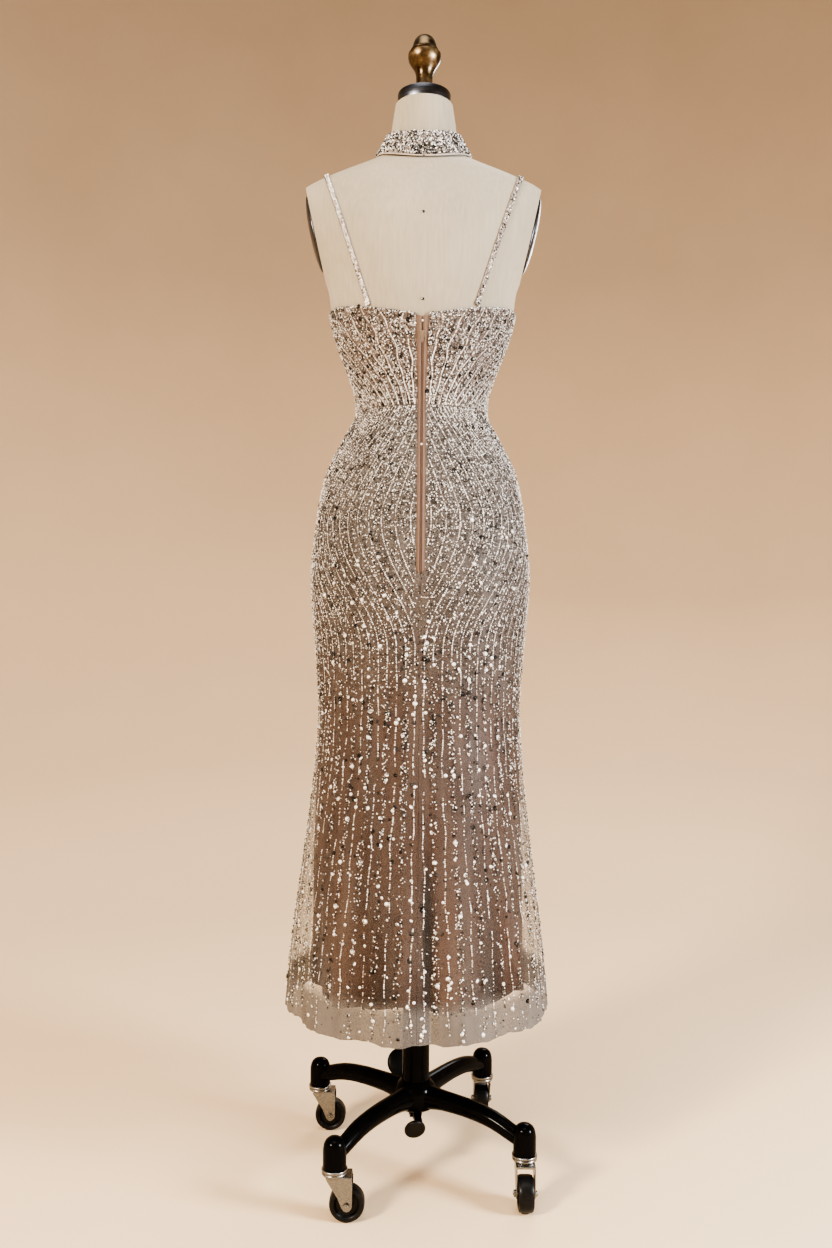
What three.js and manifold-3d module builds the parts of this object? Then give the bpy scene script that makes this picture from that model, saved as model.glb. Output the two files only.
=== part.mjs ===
// A beaded evening gown on a limbless dress form with a rolling stand.
// Millimetres, +Z up, origin on the floor under the pole. The gown's front faces -Y and its back +Y.
// Left and right are the wearer's, so left is +X. Angles go round from the left side towards the back.
import * as THREE from "three";
import { mergeVertices } from "three/addons/utils/BufferGeometryUtils.js";
import Module from "manifold-3d";

const wasm = await Module();
wasm.setup();

const { degToRad, lerp, clamp } = THREE.MathUtils;
const QUARTER = Math.PI / 2;

// Heights above the floor
const HEM = 268;
const LINING_HEM = 312;
const TORSO_BASE = 800;
const ZIP_END = 962;
const WAIST = 1230;
const TORSO_TOP = 1737;

// Cloth
const SEAM_GAP = 0.3;
const NET_THICK = 1.2;
const LINING_THICK = 1.1;
const BODICE_THICK = 2;
const COLLAR_THICK = 2.4;

// The shared figure, a row for each height: the gown's outside at the side, front and back, then how far
// inside it the lining and the form's linen lie. Above the bust the gown's rows carry on over the form.
const FIGURE = [
  { height: 262, side: 211.5, front: 211.5, back: 211.5, lining: 41, form: 60 },
  { height: 330, side: 206, front: 203, back: 204, lining: 35, form: 60 },
  { height: 400, side: 199.5, front: 193, back: 195, lining: 29, form: 50 },
  { height: 532, side: 183, front: 166, back: 172, lining: 14, form: 30 },
  { height: 663, side: 169, front: 138, back: 147, lining: 4, form: 12 },
  { height: 745, side: 164, front: 126, back: 138, lining: 2, form: 8 },
  { height: 860, side: 171, front: 118, back: 137, lining: 2, form: 7 },
  { height: 959, side: 178, front: 114, back: 140, lining: 2, form: 7 },
  { height: 1058, side: 169, front: 108, back: 131, lining: 2, form: 7 },
  { height: 1124, side: 156.5, front: 103, back: 118, lining: 1.9, form: 7 },
  { height: 1190, side: 126, front: 96, back: 98, lining: 1.8, form: 6.5 },
  { height: 1230, side: 107, front: 90, back: 88, lining: 1.7, form: 6 },
  { height: 1255, side: 108.5, front: 92, back: 88.5, lining: 1.7, form: 5 },
  { height: 1288, side: 118, front: 103, back: 94, lining: 1.7, form: 4 },
  { height: 1340, side: 138, front: 126, back: 106, lining: 1.7, form: 3.3 },
  { height: 1387, side: 151, front: 137, back: 115, lining: 1.7, form: 3 },
  { height: 1430, side: 157, front: 137, back: 120, lining: 1.7, form: 3 },
  { height: 1470, side: 174, front: 129, back: 120, lining: 1.7, form: 3 },
  { height: 1520, side: 200, front: 111, back: 114, lining: 1.7, form: 3 },
  { height: 1560, side: 209, front: 94, back: 103, lining: 1.7, form: 3 },
  { height: 1590, side: 204, front: 79, back: 90.5, lining: 1.7, form: 3 },
  { height: 1602, side: 187, front: 71.5, back: 83.5, lining: 1.7, form: 3 },
  { height: 1615, side: 157, front: 61, back: 78, lining: 1.7, form: 3 },
  { height: 1627, side: 127, front: 50.5, back: 69.5, lining: 1.7, form: 3 },
  { height: 1638, side: 102, front: 47, back: 57.5, lining: 1.7, form: 3 },
  { height: 1650, side: 76, front: 46.5, back: 53, lining: 1.7, form: 3 },
  { height: 1670, side: 62, front: 48, back: 51.5, lining: 1.7, form: 3 },
  { height: 1690, side: 57.2, front: 49, back: 51.5, lining: 1.7, form: 3 },
  { height: 1715, side: 53.5, front: 49.9, back: 51, lining: 1.7, form: 3 },
  { height: 1737, side: 50, front: 50, back: 50, lining: 1.7, form: 3 },
];

// Bust fullness on the front, on each side of the middle, and the share of it that the form has
const BUST = { height: 1372, halfHeight: 62, angle: 36, halfAngle: 27, fullness: 9, form: 0.7 };

// The form's chest lies this much further inside the cloth, between these heights
const CHEST = { height: 1500, halfHeight: 150, hollow: 3.4 };

// Flutes of the net skirt: where each ridge stands, its half width in degrees, how far it stands out or,
// below nothing, in at the hem, and the height where it starts
const FLUTES = [
  { angle: 4, half: 13, out: 3, from: 640 },
  { angle: 27, half: 12, out: -7, from: 560 },
  { angle: 47, half: 11, out: 6, from: 600 },
  { angle: 66, half: 10, out: -6, from: 520 },
  { angle: 82, half: 9, out: 6, from: 680 },
  { angle: 96, half: 8, out: -10, from: 700 },
  { angle: 110, half: 9, out: 6, from: 640 },
  { angle: 129, half: 11, out: -6, from: 540 },
  { angle: 151, half: 11, out: 6, from: 600 },
  { angle: 176, half: 13, out: 3, from: 560 },
  { angle: 199, half: 11, out: -5, from: 620 },
  { angle: 222, half: 12, out: 5, from: 580 },
  { angle: 245, half: 12, out: -6, from: 640 },
  { angle: 268, half: 11, out: 3.5, from: 600 },
  { angle: 291, half: 12, out: -6, from: 620 },
  { angle: 315, half: 12, out: 6, from: 560 },
  { angle: 340, half: 11, out: -5, from: 600 },
];

// Creases of the lining near its hem, in the same way
const LINING_FOLDS = [
  { angle: 20, half: 14, out: -9, from: 470 },
  { angle: 48, half: 13, out: 7, from: 500 },
  { angle: 75, half: 13, out: -10, from: 520 },
  { angle: 104, half: 14, out: 8, from: 540 },
  { angle: 133, half: 14, out: -10, from: 480 },
  { angle: 161, half: 14, out: 7, from: 500 },
  { angle: 192, half: 16, out: -9, from: 470 },
  { angle: 226, half: 16, out: 7, from: 500 },
  { angle: 262, half: 17, out: -9, from: 520 },
  { angle: 298, half: 17, out: 7, from: 480 },
  { angle: 334, half: 16, out: -8, from: 500 },
];

// How far the hem lifts at the centre back, and how far above the hem this fades out
const BACK_LIFT = { rise: 6, above: 60 };

// Rows of each panel, as heights. The zip's end has two rows close together.
const SKIRT_ROWS = [HEM, 330, 400, 470, 535, 600, 670, 745, 850, ZIP_END, 968];
const LINING_ROWS = [LINING_HEM, 380, 465, 560, 670, 745, 850, ZIP_END, 968];
const HIP_ROWS = [1045, 1105, 1150, 1185, 1210, WAIST - SEAM_GAP / 2];
const TORSO_ROWS = [
  TORSO_BASE, 875, 960, 1045, 1105, 1150, 1185, 1210, 1230, 1250, 1275, 1310, 1350, 1387, 1430, 1475, 1520,
  1558, 1582, 1598, 1608, 1618, 1628, 1638, 1644, 1650, 1664, 1684, TORSO_TOP,
];

// Half of the open strip at the centre back, which the zip fills down to its end
const ZIP_STRIP = [
  { height: 240, half: SEAM_GAP / 2 },
  { height: ZIP_END, half: SEAM_GAP / 2 },
  { height: 968, half: 7 },
  { height: 1090, half: 7 },
  { height: 1230, half: 6.5 },
  { height: 1366, half: 10 },
  { height: 1400, half: 10 },
];

// Rows of the coil and tapes, without their top ends
const ZIP_ROWS = [972, 1045, 1105, 1150, 1185, 1210, 1230, 1250, 1275, 1310];

// Bodice: the back's top edge rises from the zip to the side seam, and the front's edge runs from there in
// to the collar as a halter
const BACK_TOP = { middle: 1366, side: 1395, bend: 1.2 };
const HALTER_EDGE = [
  { height: 1395, half: 152 },
  { height: 1400, half: 149 },
  { height: 1409, half: 143 },
  { height: 1430, half: 130 },
  { height: 1452, half: 119 },
  { height: 1475, half: 109 },
  { height: 1520, half: 93 },
  { height: 1558, half: 81 },
  { height: 1582, half: 73 },
  { height: 1640, half: 62 },
];
const BODICE_ROWS = [
  WAIST + SEAM_GAP / 2, 1250, 1275, 1310, 1350, 1387, 1395, 1400, 1409, 1430, 1452, 1475, 1520, 1558, 1582,
];

// Collar: a cone round the base of the neck, lower in front than behind
const COLLAR = {
  foot: { side: 78, front: 74, back: 72, height: 1650, frontDrop: 52, backDrop: 23 },
  rim: { side: 58.6, front: 57, back: 56, height: 1686, frontDrop: 46, backDrop: 12.5 },
  halterHalf: 62,
  openingHalf: 0.4,
};

// Straps, as heights and distances to the side along the cloth, over the shoulder at its ridge
const STRAP = { width: 8, thick: 2, clear: 1, back: [85, 1384], ridge: [160, 1613.5], front: [122, 1459] };

// Zip
const COIL = { half: 1.2, proud: 0.7, sunk: 0.9, top: 1342 };
const TAPE = { sunk: 0.3, thick: 1, top: 1363 };
const SLIDER = { height: 1336, half: 3.5, length: 10, thick: 2, rise: 1.1 };
const BRIDGE = { half: 0.9, length: 7, gap: 1.9, thick: 1 };
const PULL = { half: 2.4, rail: 1, wire: 0.6, window: 5.6, length: 15, lift: 1.5 };

// Arm plates close the cut ends of the shoulders, which lean in towards the bust
const ARM_CUT = { side: 163, height: 1464, lean: 0.218 };
const ARM_PLATE = { height: 1526, halfHeight: 62, halfDepth: 43, dome: 9 };
const ARM_BLOCK = { width: 60, depth: 300, height: 240 };

// Neck cap and finial, as radius and height
const CAP_PROFILE = [[0, 1737.3], [42, 1737.3], [43.5, 1740], [43.5, 1755], [42, 1757], [0, 1757]];
const FINIAL_PROFILE = [
  [0, 1757.3], [16.5, 1757.3], [16.5, 1761], [13.8, 1766], [13.8, 1788], [16, 1797], [21, 1804],
  [26.5, 1813], [27, 1824], [22, 1827], [19.8, 1836], [16, 1846.5], [9.5, 1852.5], [0, 1854],
];

// Pole, column and hub
const POLE = { radius: 12.5, foot: 190 };
const COLUMN = { radius: 22, bore: 12.9, foot: 140.3, top: 420 };
const HUB = { radius: 35, base: 97, top: 140, boreFloor: 100 };
const POLE_SIDES = 16;

// Legs and their caster sockets, with the leg's axis as distance from the column, height and half thickness
const LEG_AXIS = [
  { reach: 24, height: 117, half: 15 },
  { reach: 60, height: 118, half: 15 },
  { reach: 100, height: 118.5, half: 14.5 },
  { reach: 135, height: 116, half: 14 },
  { reach: 162, height: 110, half: 13.5 },
  { reach: 182, height: 103, half: 13 },
  { reach: 194, height: 99, half: 12.5 },
];
const SOCKET = { reach: 206, radius: 17.5, base: 78.5, shoulder: 106, top: 123, bore: 5, boreTop: 102 };
const LEG_ANGLE = 54.3;

// Casters: the wheel trails behind its upright stem
const WHEEL = { radius: 26.5, half: 12, bore: 3.4, sides: 16 };
const FORK = { trail: 19, crown: 19.5, crownTop: 78.2, crownBase: 68, inner: 13, plate: 1.8, stem: 4.5, eye: 8 };
const CHEEK = [[-11, 69], [25, 69], [27, 58], [27, 27]];
const AXLE = { radius: 3, head: 5, headThick: 2, hole: 3.8 };
// Each caster's leg, counted round from the back left one, and where its wheel trails
const CASTERS = [
  { name: "back_left", leg: 0, trail: 180 },
  { name: "back_right", leg: 1, trail: 90 },
  { name: "front_right", leg: 2, trail: -90 },
  { name: "front_left", leg: 3, trail: 180 },
];

// Foot pedal, a rocker under the hub that runs between two legs. Distances are towards the front.
const PEDAL = { angle: LEG_ANGLE - 135, pivot: 84, halfWidth: 6, boss: 7, pin: 2.5 };
const PEDAL_ARM = [[-46, 76], [-42, 84], [-20, 90], [0, 91], [40, 97], [92, 122], [96, 114], [44, 88], [0, 77], [-20, 80]];
const PAD_THICK = 7;
const PADS = [
  { forward: 97, aside: 10, height: 127, lean: -62, halfWidth: 24, halfLength: 24 },
  { forward: -47, aside: 8, height: 76, lean: 62, halfWidth: 17, halfLength: 19 },
];
const EAR = { halfWidth: 9, radius: 7, thick: 3, away: 2, hole: 2.8 };

// Materials
function finish(color, roughness, metalness) {
  return new THREE.MeshStandardMaterial({ color, roughness, metalness });
}
const BEADED_NET = finish(0xb9aca0, 0.45, 0.25);
const NET = finish(0xb4aaa2, 0.7, 0);
const SATIN = finish(0xb08a78, 0.42, 0);
const BEADWORK = finish(0xc9c4bf, 0.3, 0.6);
const TAPE_CLOTH = finish(0xc39c88, 0.7, 0);
const ZIP_NYLON = finish(0x8a6a5c, 0.5, 0);
const ZIP_METAL = finish(0x9c948c, 0.3, 1);
const LINEN = finish(0xdcd6c8, 0.9, 0);
const DARK_STEEL = finish(0x4a4744, 0.35, 1);
const OLD_BRASS = finish(0x8c7350, 0.4, 1);
const BLACK_ENAMEL = finish(0x0c0c0d, 0.25, 0);
const BRIGHT_STEEL = finish(0xb9bbbd, 0.25, 1);
const BLACK_RUBBER = finish(0x17171a, 0.45, 0);

// A smooth value from a table's column at a height, which never swings past the rows beside it
function read(table, column, height) {
  const last = table.length - 1;
  const above = table.findIndex((row) => row.height > height);
  const i = above < 0 ? last - 1 : Math.max(above - 1, 0);
  const rise = (k) => (table[k + 1][column] - table[k][column]) / (table[k + 1].height - table[k].height);
  const slope = (k) => {
    if (k === 0) return rise(0);
    if (k === last) return rise(last - 1);
    const product = rise(k - 1) * rise(k);
    return product <= 0 ? 0 : (2 * product) / (rise(k - 1) + rise(k));
  };
  const span = table[i + 1].height - table[i].height;
  const t = clamp((height - table[i].height) / span, 0, 1);
  const rest = 1 - t;
  return (
    rest * rest * (1 + 2 * t) * table[i][column] +
    t * t * (3 - 2 * t) * table[i + 1][column] +
    rest * rest * t * span * slope(i) -
    t * t * rest * span * slope(i + 1)
  );
}

// A straight run between rows, for edges that have corners
function readStraight(table, column, height) {
  const above = table.findIndex((row) => row.height > height);
  const i = above < 0 ? table.length - 2 : Math.max(above - 1, 0);
  const t = clamp((height - table[i].height) / (table[i + 1].height - table[i].height), 0, 1);
  return lerp(table[i][column], table[i + 1][column], t);
}

// 1 at the middle of a hump and 0 from its edge on
function hump(distance) {
  const d = Math.min(Math.abs(distance), 1);
  return (1 + Math.cos(Math.PI * d)) / 2;
}

function turnBetween(angle, degrees) {
  const turn = angle - degToRad(degrees);
  return Math.atan2(Math.sin(turn), Math.cos(turn));
}

// A point on the figure's section at a height, moved outward along the section's normal
function onFigure(angle, height, outward, cups = 1) {
  const side = read(FIGURE, "side", height);
  const deep = read(FIGURE, Math.sin(angle) > 0 ? "back" : "front", height);
  const bust =
    hump((height - BUST.height) / BUST.halfHeight) *
    (hump(turnBetween(angle, -90 - BUST.angle) / degToRad(BUST.halfAngle)) +
      hump(turnBetween(angle, -90 + BUST.angle) / degToRad(BUST.halfAngle)));
  const normal = new THREE.Vector2(Math.cos(angle) / side, Math.sin(angle) / deep).normalize();
  const out = outward + BUST.fullness * bust * cups;
  return new THREE.Vector3(
    side * Math.cos(angle) + out * normal.x,
    deep * Math.sin(angle) + out * normal.y,
    height,
  );
}

// A point on the form's linen
function onForm(angle, height) {
  const chest = CHEST.hollow * clamp(-4 * Math.sin(angle), 0, 1);
  const inside = read(FIGURE, "form", height) + chest * hump((height - CHEST.height) / CHEST.halfHeight);
  return onFigure(angle, height, -inside, BUST.form);
}

// The back's or front's angle at a distance to the left
function angleAt(across, height, facing) {
  const side = read(FIGURE, "side", height);
  return facing * Math.acos(clamp(across / side, -1, 1));
}

function foldsAt(folds, angle, height, hem) {
  let out = 0;
  for (const fold of folds) {
    const down = clamp((fold.from - height) / (fold.from - hem), 0, 1);
    out += fold.out * down ** 1.4 * hump(turnBetween(angle, fold.angle) / degToRad(fold.half));
  }
  return out;
}

// A closed body from its points and faces, turned so that its faces point out
function body(points, faces) {
  let volume = 0;
  for (const [a, b, c] of faces) volume += points[a].dot(new THREE.Vector3().crossVectors(points[b], points[c]));
  const index = volume < 0 ? faces.map(([a, b, c]) => [a, c, b]) : faces;
  const geometry = new THREE.BufferGeometry().setFromPoints(points);
  geometry.setIndex(index.flat());
  return geometry;
}

function quad(faces, a, b, c, d) {
  faces.push([a, b, c], [a, c, d]);
}

// A wall of cloth. place(u, row, depth) gives its points, with u from 0 to 1 across, the row's number, and
// depth 0 on its right side and 1 on its wrong side.
function cloth(columns, rows, place) {
  const points = [];
  const faces = [];
  const at = (depth, row, column) => (depth * rows + row) * (columns + 1) + column;
  for (const depth of [0, 1])
    for (let row = 0; row < rows; row++)
      for (let column = 0; column <= columns; column++) points.push(place(column / columns, row, depth));
  for (let row = 0; row + 1 < rows; row++)
    for (let column = 0; column < columns; column++) {
      quad(faces, at(0, row, column), at(0, row, column + 1), at(0, row + 1, column + 1), at(0, row + 1, column));
      quad(faces, at(1, row, column), at(1, row + 1, column), at(1, row + 1, column + 1), at(1, row, column + 1));
    }
  for (let row = 0; row + 1 < rows; row++) {
    quad(faces, at(0, row, 0), at(0, row + 1, 0), at(1, row + 1, 0), at(1, row, 0));
    quad(faces, at(0, row, columns), at(1, row, columns), at(1, row + 1, columns), at(0, row + 1, columns));
  }
  for (let column = 0; column < columns; column++) {
    quad(faces, at(0, 0, column), at(1, 0, column), at(1, 0, column + 1), at(0, 0, column + 1));
    quad(
      faces,
      at(0, rows - 1, column),
      at(0, rows - 1, column + 1),
      at(1, rows - 1, column + 1),
      at(1, rows - 1, column),
    );
  }
  return body(points, faces);
}

// A closed body through rings of points, with flat ends
function loft(rings) {
  const sides = rings[0].length;
  const points = rings.flat();
  const faces = [];
  for (let ring = 0; ring + 1 < rings.length; ring++)
    for (let k = 0; k < sides; k++) {
      const next = (k + 1) % sides;
      quad(faces, ring * sides + k, ring * sides + next, (ring + 1) * sides + next, (ring + 1) * sides + k);
    }
  const end = (rings.length - 1) * sides;
  for (let k = 1; k + 1 < sides; k++) {
    faces.push([0, k + 1, k]);
    faces.push([end, end + k, end + k + 1]);
  }
  return body(points, faces);
}

// A turned body about Z, from radius and height pairs, with a flat side facing the axes
function turned(profile, sides) {
  const points = profile.map(([radius, height]) => new THREE.Vector2(radius, height));
  const geometry = new THREE.LatheGeometry(points, sides);
  return geometry.rotateX(QUARTER).rotateZ(Math.PI / sides);
}

function toSolid(geometry) {
  const bare = geometry.index ? geometry.toNonIndexed() : geometry.clone();
  bare.deleteAttribute("normal");
  bare.deleteAttribute("uv");
  const merged = mergeVertices(bare, 1e-3);
  return new wasm.Manifold(
    new wasm.Mesh({
      numProp: 3,
      vertProperties: merged.attributes.position.array,
      triVerts: new Uint32Array(merged.index.array),
    }),
  );
}

function toGeometry(solid) {
  const mesh = solid.getMesh();
  const geometry = new THREE.BufferGeometry();
  geometry.setAttribute("position", new THREE.BufferAttribute(mesh.vertProperties, 3));
  geometry.setIndex(new THREE.BufferAttribute(mesh.triVerts, 1));
  return geometry;
}

function joined(first, ...others) {
  return toGeometry(others.reduce((sum, other) => sum.add(toSolid(other)), toSolid(first)));
}

function cut(geometry, ...tools) {
  return toGeometry(tools.reduce((rest, tool) => rest.subtract(toSolid(tool)), toSolid(geometry)));
}

function named(name, geometry, material) {
  const mesh = new THREE.Mesh(geometry, material);
  mesh.name = name;
  return mesh;
}

function box(x, y, z, width, depth, height) {
  return new THREE.BoxGeometry(width, depth, height).translate(x, y, z);
}

// Three panels run round the body, a front and two backs: from start to finish at a height
function panelSpan(panel, height) {
  const strip = readStraight(ZIP_STRIP, "half", height);
  const side = SEAM_GAP / 2 / read(FIGURE, "side", height);
  const middle = angleAt(strip, height, 1);
  const spans = {
    front: [-Math.PI + side, -side],
    back_left: [side, middle],
    back_right: [Math.PI - middle, Math.PI - side],
  };
  return spans[panel];
}

// The hem lifts a little at the back
function hemLift(angle, height, hem) {
  const near = clamp(1 - (height - hem) / BACK_LIFT.above, 0, 1);
  return Math.max(Math.sin(angle), 0) * BACK_LIFT.rise * near;
}

// A panel of the skirt or of its lining
function skirtPanel(panel, columns, rows, folds, hem, layer, thick) {
  return cloth(columns, rows.length, (u, row, depth) => {
    const [start, finish] = panelSpan(panel, rows[row]);
    const angle = lerp(start, finish, u);
    const height = rows[row] + hemLift(angle, rows[row], hem);
    const inside = layer ? read(FIGURE, layer, height) : 0;
    return onFigure(angle, height, foldsAt(folds, angle, height, hem) - inside - depth * thick);
  });
}

function skirtPanels() {
  const group = new THREE.Group();
  const rows = { front: SKIRT_ROWS.slice(0, -1).concat(HIP_ROWS), back: SKIRT_ROWS.concat(HIP_ROWS) };
  const under = { front: LINING_ROWS.slice(0, -1).concat(HIP_ROWS), back: LINING_ROWS.concat(HIP_ROWS) };
  for (const [panel, which, net, lining] of [
    ["front", "front", 30, 20],
    ["back_left", "back", 16, 10],
    ["back_right", "back", 16, 10],
  ]) {
    const netPanel = skirtPanel(panel, net, rows[which], FLUTES, HEM, null, NET_THICK);
    const liningPanel = skirtPanel(panel, lining, under[which], LINING_FOLDS, LINING_HEM, "lining", LINING_THICK);
    group.add(named("skirt_" + panel, netPanel, NET));
    group.add(named("lining_" + panel, liningPanel, SATIN));
  }
  return group;
}

// A point of the collar: u goes up from its foot to its rim
function onCollar(angle, u, depth) {
  const back = Math.sin(angle) > 0;
  const size = (key) => lerp(COLLAR.foot[key], COLLAR.rim[key], u);
  const side = size("side") - depth * COLLAR_THICK;
  const deep = size(back ? "back" : "front") - depth * COLLAR_THICK;
  const drop = size(back ? "backDrop" : "frontDrop") * Math.sin(angle) ** 2;
  return new THREE.Vector3(side * Math.cos(angle), deep * Math.sin(angle), size("height") - drop);
}

function collar() {
  const opening = Math.asin(COLLAR.openingHalf / COLLAR.foot.back);
  return cloth(30, 3, (u, row, depth) => {
    const angle = lerp(QUARTER + opening, QUARTER - opening + 2 * Math.PI, u);
    return onCollar(angle, row / 2, depth);
  });
}

function bodiceBack(panel) {
  return cloth(11, 7, (u, row, depth) => {
    const up = row / 6;
    const [first, last] = panelSpan(panel, WAIST);
    const lean = Math.abs(Math.cos(lerp(first, last, u))) ** BACK_TOP.bend;
    const height = lerp(WAIST + SEAM_GAP / 2, lerp(BACK_TOP.middle, BACK_TOP.side, lean), up);
    const [start, finish] = panelSpan(panel, height);
    return onFigure(lerp(start, finish, u), height, -depth * BODICE_THICK);
  });
}

function bodiceFront() {
  return cloth(20, BODICE_ROWS.length + 1, (u, row, depth) => {
    if (row === BODICE_ROWS.length) {
      const across = lerp(-COLLAR.halterHalf, COLLAR.halterHalf, u);
      const point = onCollar(-Math.acos(across / COLLAR.foot.side), 0, depth * (BODICE_THICK / COLLAR_THICK));
      point.z -= SEAM_GAP + 0.1;
      return point;
    }
    const height = BODICE_ROWS[row];
    const [start, finish] = panelSpan("front", height);
    if (height < BACK_TOP.side) return onFigure(lerp(start, finish, u), height, -depth * BODICE_THICK);
    const edge = Math.min(read(HALTER_EDGE, "half", height), read(FIGURE, "side", height) * Math.cos(finish));
    const first = angleAt(-edge, height, -1);
    const last = angleAt(edge, height, -1);
    return onFigure(lerp(first, last, u), height, -depth * BODICE_THICK);
  });
}

// A strap lies on the shoulder, from the back's edge up to the ridge and down to the halter's edge
function strap(sign) {
  const steps = 9;
  const mirror = new THREE.Vector3(sign, 1, 1);
  const centre = [];
  for (const [from, to, facing] of [
    [STRAP.back, STRAP.ridge, 1],
    [STRAP.ridge, STRAP.front, -1],
  ])
    for (let step = facing > 0 ? 0 : 1; step <= steps; step++) {
      const t = step / steps;
      const ease = facing > 0 ? 1 - (1 - t) ** 2 : t ** 2;
      const height = lerp(from[1], to[1], ease);
      const across = Math.min(lerp(from[0], to[0], ease), read(FIGURE, "side", height));
      centre.push({ height, across, facing });
    }
  const track = centre.map((item) => onForm(angleAt(item.across, item.height, item.facing), item.height));
  const rings = centre.map((item, i) => {
    const ahead = track[Math.min(i + 1, track.length - 1)].clone().sub(track[Math.max(i - 1, 0)]).normalize();
    const angle = angleAt(item.across, item.height, item.facing);
    const up = onForm(angle, item.height + 1).sub(onForm(angle, item.height - 1));
    const round = onForm(angle + 0.01, item.height).sub(onForm(angle - 0.01, item.height));
    const normal = round.cross(up).normalize();
    const aside = ahead.clone().cross(normal).normalize();
    const base = track[i].clone().addScaledVector(normal, STRAP.clear);
    return [[-1, 0], [1, 0], [1, 1], [-1, 1]].map(([across, outward]) =>
      base
        .clone()
        .addScaledVector(aside, (across * STRAP.width) / 2)
        .addScaledVector(normal, outward * STRAP.thick)
        .multiply(mirror),
    );
  });
  return loft(rings);
}

// Zip: a tape on each side of the coil, then the slider and its pull
function zipTape(sign) {
  const rows = ZIP_ROWS.concat(TAPE.top);
  return cloth(1, rows.length, (u, row, depth) => {
    const outer = readStraight(ZIP_STRIP, "half", rows[row]) - SEAM_GAP;
    const across = lerp(COIL.half + SEAM_GAP, outer, u);
    return onFigure(angleAt(sign * across, rows[row], 1), rows[row], -TAPE.sunk - depth * TAPE.thick);
  });
}

function zipCoil() {
  const rows = ZIP_ROWS.concat(COIL.top);
  return cloth(1, rows.length, (u, row, depth) => {
    const across = lerp(-COIL.half, COIL.half, u);
    return onFigure(angleAt(across, rows[row], 1), rows[row], lerp(COIL.proud, -COIL.sunk, depth));
  });
}

// The slider's frame has its own Z along the zip and its own Y out from the cloth
function zipHardware() {
  const group = new THREE.Group();
  const below = onFigure(QUARTER, SLIDER.height - SLIDER.length / 2, 0);
  const above = onFigure(QUARTER, SLIDER.height + SLIDER.length / 2, 0);
  const lean = Math.atan2(above.y - below.y, above.z - below.z);
  group.position.copy(onFigure(QUARTER, SLIDER.height, 0));
  group.rotation.x = -lean;
  const top = SLIDER.rise + SLIDER.thick;
  const post = (z) => box(0, top + BRIDGE.gap / 2, z, 2 * BRIDGE.half, BRIDGE.gap + 0.4, 1.2);
  const beamAt = top + BRIDGE.gap + BRIDGE.thick / 2;
  const slider = joined(
    box(0, SLIDER.rise + SLIDER.thick / 2, 0, 2 * SLIDER.half, SLIDER.thick, SLIDER.length),
    post(BRIDGE.length / 2 - 0.6),
    post(0.6 - BRIDGE.length / 2),
    box(0, beamAt, 0, 2 * BRIDGE.half, BRIDGE.thick, BRIDGE.length),
  );
  group.add(named("zip_slider", slider, ZIP_METAL));
  const swing = new THREE.Group();
  swing.position.set(0, top + BRIDGE.gap / 2, PULL.lift);
  swing.rotation.x = lean;
  const wire = 2 * PULL.wire;
  const outline = new THREE.Shape()
    .moveTo(-PULL.half, PULL.wire)
    .lineTo(PULL.half, PULL.wire)
    .lineTo(PULL.half, 4 - PULL.length)
    .lineTo(PULL.half - 1.2, -PULL.length)
    .lineTo(1.2 - PULL.half, -PULL.length)
    .lineTo(-PULL.half, 4 - PULL.length);
  outline.closePath();
  const inner = PULL.half - PULL.rail;
  outline.holes.push(
    new THREE.Path([
      new THREE.Vector2(-inner, -PULL.wire),
      new THREE.Vector2(-inner, -PULL.window),
      new THREE.Vector2(inner, -PULL.window),
      new THREE.Vector2(inner, -PULL.wire),
    ]),
  );
  const tab = new THREE.ExtrudeGeometry(outline, { depth: wire, bevelEnabled: false });
  tab.translate(0, 0, -PULL.wire).rotateX(QUARTER);
  swing.add(named("zip_pull", tab, ZIP_METAL));
  group.add(swing);
  return group;
}

function gown() {
  const group = skirtPanels();
  group.add(named("bodice_front", bodiceFront(), BEADED_NET));
  group.add(named("bodice_back_left", bodiceBack("back_left"), BEADED_NET));
  group.add(named("bodice_back_right", bodiceBack("back_right"), BEADED_NET));
  group.add(named("collar", collar(), BEADWORK));
  group.add(named("strap_left", strap(1), BEADWORK));
  group.add(named("strap_right", strap(-1), BEADWORK));
  group.add(named("zip_tape_left", zipTape(1), TAPE_CLOTH));
  group.add(named("zip_tape_right", zipTape(-1), TAPE_CLOTH));
  group.add(named("zip_coil", zipCoil(), ZIP_NYLON));
  group.add(zipHardware());
  return group;
}

// The form: a linen torso cut off at the shoulders, its arm plates, neck cap, finial and pole
function torso() {
  const sides = 32;
  const rings = TORSO_ROWS.map((height) =>
    Array.from({ length: sides }, (_, k) => {
      return onForm((k / sides) * 2 * Math.PI, height);
    }),
  );
  const beyond = (sign) => {
    const block = box(ARM_BLOCK.width / 2, 0, 40, ARM_BLOCK.width, ARM_BLOCK.depth, ARM_BLOCK.height);
    block.rotateY(Math.atan(ARM_CUT.lean)).translate(ARM_CUT.side, 0, ARM_CUT.height);
    return sign > 0 ? block : block.rotateZ(Math.PI);
  };
  return cut(loft(rings), beyond(1), beyond(-1));
}

function armPlate(sign) {
  const { halfHeight, halfDepth, dome } = ARM_PLATE;
  const profile = [[0, 0.3], [halfHeight, 0.3], [halfHeight, 2], [halfHeight * 0.8, dome * 0.62]];
  profile.push([halfHeight * 0.45, dome * 0.93], [0, dome]);
  const plate = turned(profile, 20).scale(1, halfDepth / halfHeight, 1).rotateY(QUARTER + Math.atan(ARM_CUT.lean));
  const side = ARM_CUT.side + (ARM_PLATE.height - ARM_CUT.height) * ARM_CUT.lean;
  plate.translate(side, 0, ARM_PLATE.height);
  return sign > 0 ? plate : plate.rotateZ(Math.PI);
}

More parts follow.
